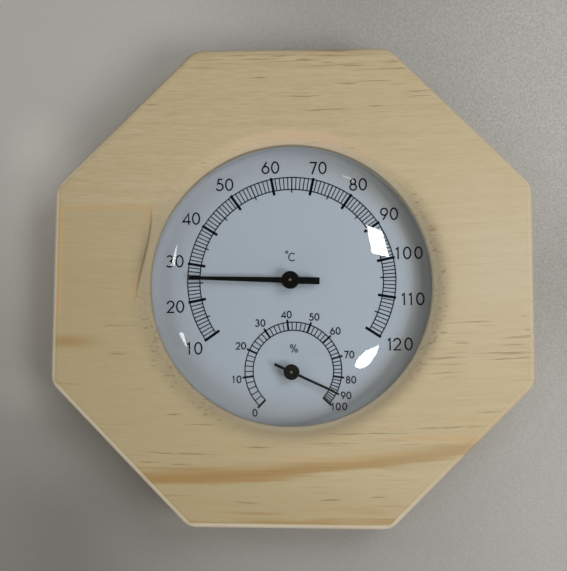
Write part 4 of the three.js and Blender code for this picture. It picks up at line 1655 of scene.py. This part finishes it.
@dataclass
class Dial(Assembly):
    """The lacquered dial plate and its print, a thin layer of ink bedded in the lacquer."""

    turn: float = 1.0  # anticlockwise, as the dial sits in its frame
    ink: Point = (-12.665, -12.615)
    unit_height: float = 3.0
    degree_mark: tuple[Word, ...] = (("C", (-0.95, 10.6), 0.40), ("o", (-1.56, 10.75), 0.34))
    percent_mark: tuple[Word, ...] = (("%", (-0.8, -22.55), 0.37),)
    temperature: Scale = field(default_factory=lambda: Scale(
        "thermo", (-0.06, 2.13), 37.75, 33.29, 0.42,
        (-124.15, -101.34, -79.8, -57.5, -34.66, -10.38, 13.07, 35.93, 57.43, 78.39, 100.55, 123.39),
        10, 120, 1, (31.73, 38.29, 0.98), (32.09, 37.75, 0.46), (33.29, 37.75, 0.38),
        ((-35.49, -22.01), (-42.04, -6.76), (-42.19, 9.83), (-36.04, 25.42), (-23.74, 37.7),
         (-6.8, 43.65), (10.54, 43.09), (25.07, 36.69), (36.08, 25.61), (44.57, 11.26),
         (44.81, -5.42), (40.21, -21.53)),
        4.45, 0.57))
    humidity: Scale = field(default_factory=lambda: Scale(
        "hygro", (0.22, -30.47), 17.42, 14.47, 0.42,
        (-135.6, -97.3, -64.4, -34.4, -6.1, 21.3, 48.0, 74.1, 98.7, 118.3, 133.0),
        0, 100, 2, (14.47, 18.46, 0.74), (14.47, 17.42, 0.37), (14.47, 17.42, 0.37),
        ((-14.55, -45.37), (-20.19, -33.39), (-18.43, -21.34), (-11.36, -13.2), (-1.78, -10.32),
         (8.21, -11.32), (15.76, -16.47), (20.5, -25.05), (21.03, -34.02), (19.16, -39.58),
         (17.61, -43.46)),
        2.55, 0.46))

    def turned_in(self, shape: Shape) -> Shape:
        """Turns a shape with the dial, to x cos t - z sin t and x sin t + z cos t.

        Args:
            shape: upright.

        Returns:
            The turned shape.
        """
        cos, sin = math.cos(math.radians(self.turn)), math.sin(math.radians(self.turn))
        x, y, z = shape.points.T
        return Shape(np.stack([x * cos - z * sin, y, x * sin + z * cos], 1), shape.faces)

    def build(self) -> list[bpy.types.Object]:
        """Prints both scales and the two unit marks, and dresses the plate.

        Returns:
            The prints.
        """
        degrees, percent = [Shape.joined([Lettering.word(text, place, self.unit_height, width, self.ink)
                                          for text, place, width in mark])
                            for mark in (self.degree_mark, self.percent_mark)]
        prints = {
            "thermo_scale_print": self.temperature.lines(self.ink),
            "hygro_scale_print": self.humidity.lines(self.ink),
            "thermo_numbers_print": self.temperature.numbers(self.ink),
            "hygro_numbers_print": self.humidity.numbers(self.ink),
            "degree_mark_print": degrees,
            "percent_mark_print": percent,
        }
        self.dress_solids(ENAMEL, "dial_plate")
        return [self.keep(to_object(self.turned_in(shape), name), INK, "dial_print")
                for name, shape in prints.items()]


@dataclass
class Movement(Assembly):
    """One movement: its fine pointer cap, and the finishes of its other parts."""

    name: str
    axis: Point
    front: float
    radius: float
    thickness: float
    boss_radius: float
    coil_finish: Finish
    body: str = CASE
    boss_back: float = -13.73
    bore: float = 0.75
    mouth: float = 0.45
    mouth_depth: float = 0.2
    edge: float = 0.5
    edge_steps: int = 8
    steps: int = 96

    def build(self) -> bpy.types.Object:
        """Turns the cap, whose bore narrows at its mouth, and dresses the solids of the movement.

        Returns:
            The cap.
        """
        back = self.front + self.thickness
        edge = arc((self.radius - self.edge, self.front + self.edge), (self.edge,) * 2, -90, 0,
                   self.edge_steps)
        profile = np.vstack([
            [[self.bore, self.front + self.mouth_depth], [self.mouth, self.front + self.mouth_depth],
             [self.mouth, self.front]], edge,
            [[self.radius, back], [self.boss_radius, back], [self.boss_radius, self.boss_back],
             [self.bore, self.boss_back]]])
        cap = turned(profile, self.steps, ring=True).moved(self.axis[0], 0, self.axis[1])
        for finish, parts in ((LACQUER, ("pointer",)), (PIVOT, ("arbor",)), (STEEL, ("coil_pin",)),
                              (BRASS, ("bush", "bush_nut", "collet")), (ZINC, ("bracket",)),
                              (self.coil_finish, ("coil",))):
            self.dress_solids(finish, *[f"{self.name}_{part}" for part in parts])
        made = to_object(cap, f"{self.name}_cap")
        return self.keep(made, LACQUER, "pointer_black", f"{self.name}_pointer_hub")


MOVEMENTS = (
    Movement("thermo", (-0.2476, 1.8660), -17.93, 3.2, 1.6, 1.6, BIMETAL, THERMO),
    Movement("hygro", (0.3260, -30.9990), -17.43, 2.8, 1.5, 1.5, BRASS, HYGRO),
)


# Studio


class Seen(Enum):
    """Which rays see a stage piece."""

    ALL = "all"
    GLOSS = "gloss"


@dataclass
class Panel:
    """A soft light at an azimuth and elevation from the dial, aimed at it."""

    azimuth: float
    elevation: float
    distance: float
    size: float
    power: float
    colour: Colour = (0.975, 0.985, 1.0)

    def build(self, name: str, target: Vector) -> None:
        """Hangs the light at target + distance (sin a cos e, -cos a cos e, sin e).

        Args:
            name: of the light.
            target: in metres.
        """
        light = bpy.data.lights.new(name, "AREA")
        light.shape, light.size, light.energy, light.color = "DISK", self.size, self.power, self.colour
        lamp = bpy.data.objects.new(name, light)
        turn, lift = math.radians(self.azimuth), math.radians(self.elevation)
        away = Vector((math.sin(turn) * math.cos(lift), -math.cos(turn) * math.cos(lift), math.sin(lift)))
        lamp.location = target + away * self.distance
        lamp.rotation_euler = (-away).to_track_quat("-Z", "Y").to_euler()
        lamp.visible_glossy = lamp.visible_transmission = False
        bpy.context.scene.collection.objects.link(lamp)


@dataclass
class Studio:
    """Camera, wall, floor, soft lights and the bright cards that the dome mirrors."""

    sight: Point = (0.01, 50.0)
    wall_y: float = 0.0005
    wall_reach: float = 1.5
    floor_z: float = -0.80
    floor_reach: float = 2.0
    sky: Colour = (1.0, 0.975, 0.92)
    glow_colour: Colour = (1.0, 0.98, 0.95)
    card_distance: float = 0.7
    ambient: float = 0.21
    front: float = 0.02
    panels: tuple[Panel, ...] = (
        Panel(38, -16, 0.6, 0.28, 1.42), Panel(32, 18, 0.6, 0.28, 0.92), Panel(-43, 14, 0.8, 0.2, 0.35),
        Panel(-39, -13, 0.8, 0.2, 0.35), Panel(20, 41, 0.8, 0.2, 0.25), Panel(-5, 5, 1.0, 0.7, 0.9),
        Panel(-70, -45, 0.7, 0.3, 0.6), Panel(180, 8, 1.0, 0.5, 4.0))
    cards: tuple[tuple[str, float, tuple[Point, ...]], ...] = (
        ("card_right_high", 26.0, ((26.9, 20.7), (32.5, 18.8), (34.8, 9.45), (28.9, 10.6))),
        ("card_right_low", 26.0, ((31.3, -21.5), (30.2, -24.6), (28.3, -27.6), (26.7, -29.0), (24.4, -29.8),
                                  (22.8, -29.0), (22.9, -28.2), (24.2, -25.7), (26.5, -23.6))),
        ("card_left_high", 12.0, ((-40.75, 14.2), (-41.0, 14.2), (-42.95, 6.8), (-41.55, 6.6))),
        ("card_left_low", 12.0, ((-38.2, -17.1), (-39.8, -17.5), (-36.9, -22.4), (-36.65, -22.3))),
        ("card_top", 5.0, ((18.7, 39.4), (18.7, 38.7), (22.5, 37.1), (22.5, 37.8))),
    )

    def stage(self, name: str, corners: Sequence[Sequence[float]], material: bpy.types.Material,
              seen: Seen = Seen.ALL) -> None:
        """Adds one flat stage piece.

        Args:
            name: of the piece.
            corners: in metres.
            material: its finish.
            seen: which rays meet it.
        """
        mesh = bpy.data.meshes.new(name)
        mesh.from_pydata([tuple(corner) for corner in corners], [], [tuple(range(len(corners)))])
        mesh.materials.append(material)
        made = bpy.data.objects.new(name, mesh)
        if seen is Seen.GLOSS:
            made.visible_camera = made.visible_diffuse = False
            made.visible_shadow = made.visible_transmission = False
        bpy.context.scene.collection.objects.link(made)

    def build(self, glazing: Glazing) -> None:
        """Sets the camera, the room and the lights.

        Args:
            glazing: the dome that mirrors the cards.
        """
        target = Vector((0, FRONT * MM, MIDDLE * MM))
        data = bpy.data.cameras.new("camera")
        data.lens, data.sensor_width = EYE.lens, EYE.sensor
        data.clip_start, data.clip_end = self.sight
        camera = bpy.data.objects.new("camera", data)
        camera.location = EYE.place
        camera.rotation_euler = EYE.angles
        bpy.context.scene.collection.objects.link(camera)
        bpy.context.scene.camera = camera
        bpy.context.scene.view_settings.view_transform = "Standard"
        self.room()
        for number, panel in enumerate(self.panels, 1):
            panel.build(f"panel_{number}", target)
        for name, strength, points in self.cards:
            corners = self.mirrored(np.array(points), glazing)
            self.stage(name, corners, self.glow(name, strength), Seen.GLOSS)

    def mirrored(self, points: np.ndarray, glazing: Glazing) -> np.ndarray:
        """Where a card's corners stand, so that the dome shows them at given points.

        The line from the camera to a point p of the dome, with unit direction d, leaves the glass
        along d - 2 (d . n) n, where n is the sphere's outward normal at p.

        Args:
            points: (x, z) on the dome, from the middle of the wood.
            glazing: the dome.

        Returns:
            The corners in metres.
        """
        flat = np.insert(points, 1, 0.0, axis=1)
        flat[:, 1] = glazing.centre[1] - np.sqrt(glazing.curve ** 2 - (points ** 2).sum(1))
        normal = (flat - glazing.centre) / glazing.curve
        place = (flat + np.array([0, 0, MIDDLE])) * MM
        sight = place - np.array(EYE.place)
        sight /= np.linalg.norm(sight, axis=1, keepdims=True)
        away = sight - 2 * np.einsum("ij,ij->i", sight, normal)[:, None] * normal
        return place + self.card_distance * away

    def glow(self, name: str, strength: float) -> bpy.types.Material:
        """A plain glowing finish.

        Args:
            name: of the card.
            strength: of its light.

        Returns:
            The material.
        """
        made = bpy.data.materials.new(f"{name}_glow")
        made.use_nodes = True
        graph = Graph(made.node_tree)
        light = graph.node("Emission", {"Color": self.glow_colour, "Strength": strength})
        graph.feed(made.node_tree.nodes["Material Output"], {"Surface": light.outputs[0]})
        return made

    def room(self) -> None:
        """The wall behind the instrument, the floor and the surroundings, which are dark in front."""
        wide, far, y, z = self.wall_reach, self.floor_reach, self.wall_y, self.floor_z
        wall = [(-wide, y, z), (wide, y, z), (wide, y, wide), (-wide, y, wide)]
        floor = [(-far, -far, z), (far, -far, z), (far, far, z), (-far, far, z)]
        self.stage("wall", wall, WALL.material())
        self.stage("floor", floor, FLOOR.material())
        world = bpy.data.worlds.new("surroundings")
        world.use_nodes = True
        graph = Graph(world.node_tree)
        toward = graph.split(graph.node("TexCoord").outputs["Generated"])[1]
        strength = graph.spread(graph.between(toward, -0.4, -0.55), self.ambient, self.front)
        graph.feed(world.node_tree.nodes["Background"], {"Color": self.sky, "Strength": strength})
        bpy.context.scene.world = world


def main() -> None:
    """Builds the instrument and its studio."""
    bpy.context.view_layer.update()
    glazing = Glazing()
    Studio().build(glazing)
    for assembly in (WoodFrame(), glazing, Dial(), *MOVEMENTS, BackCover(), HANGER, *SCREWS):
        assembly.build()


if __name__ == "__main__":
    main()
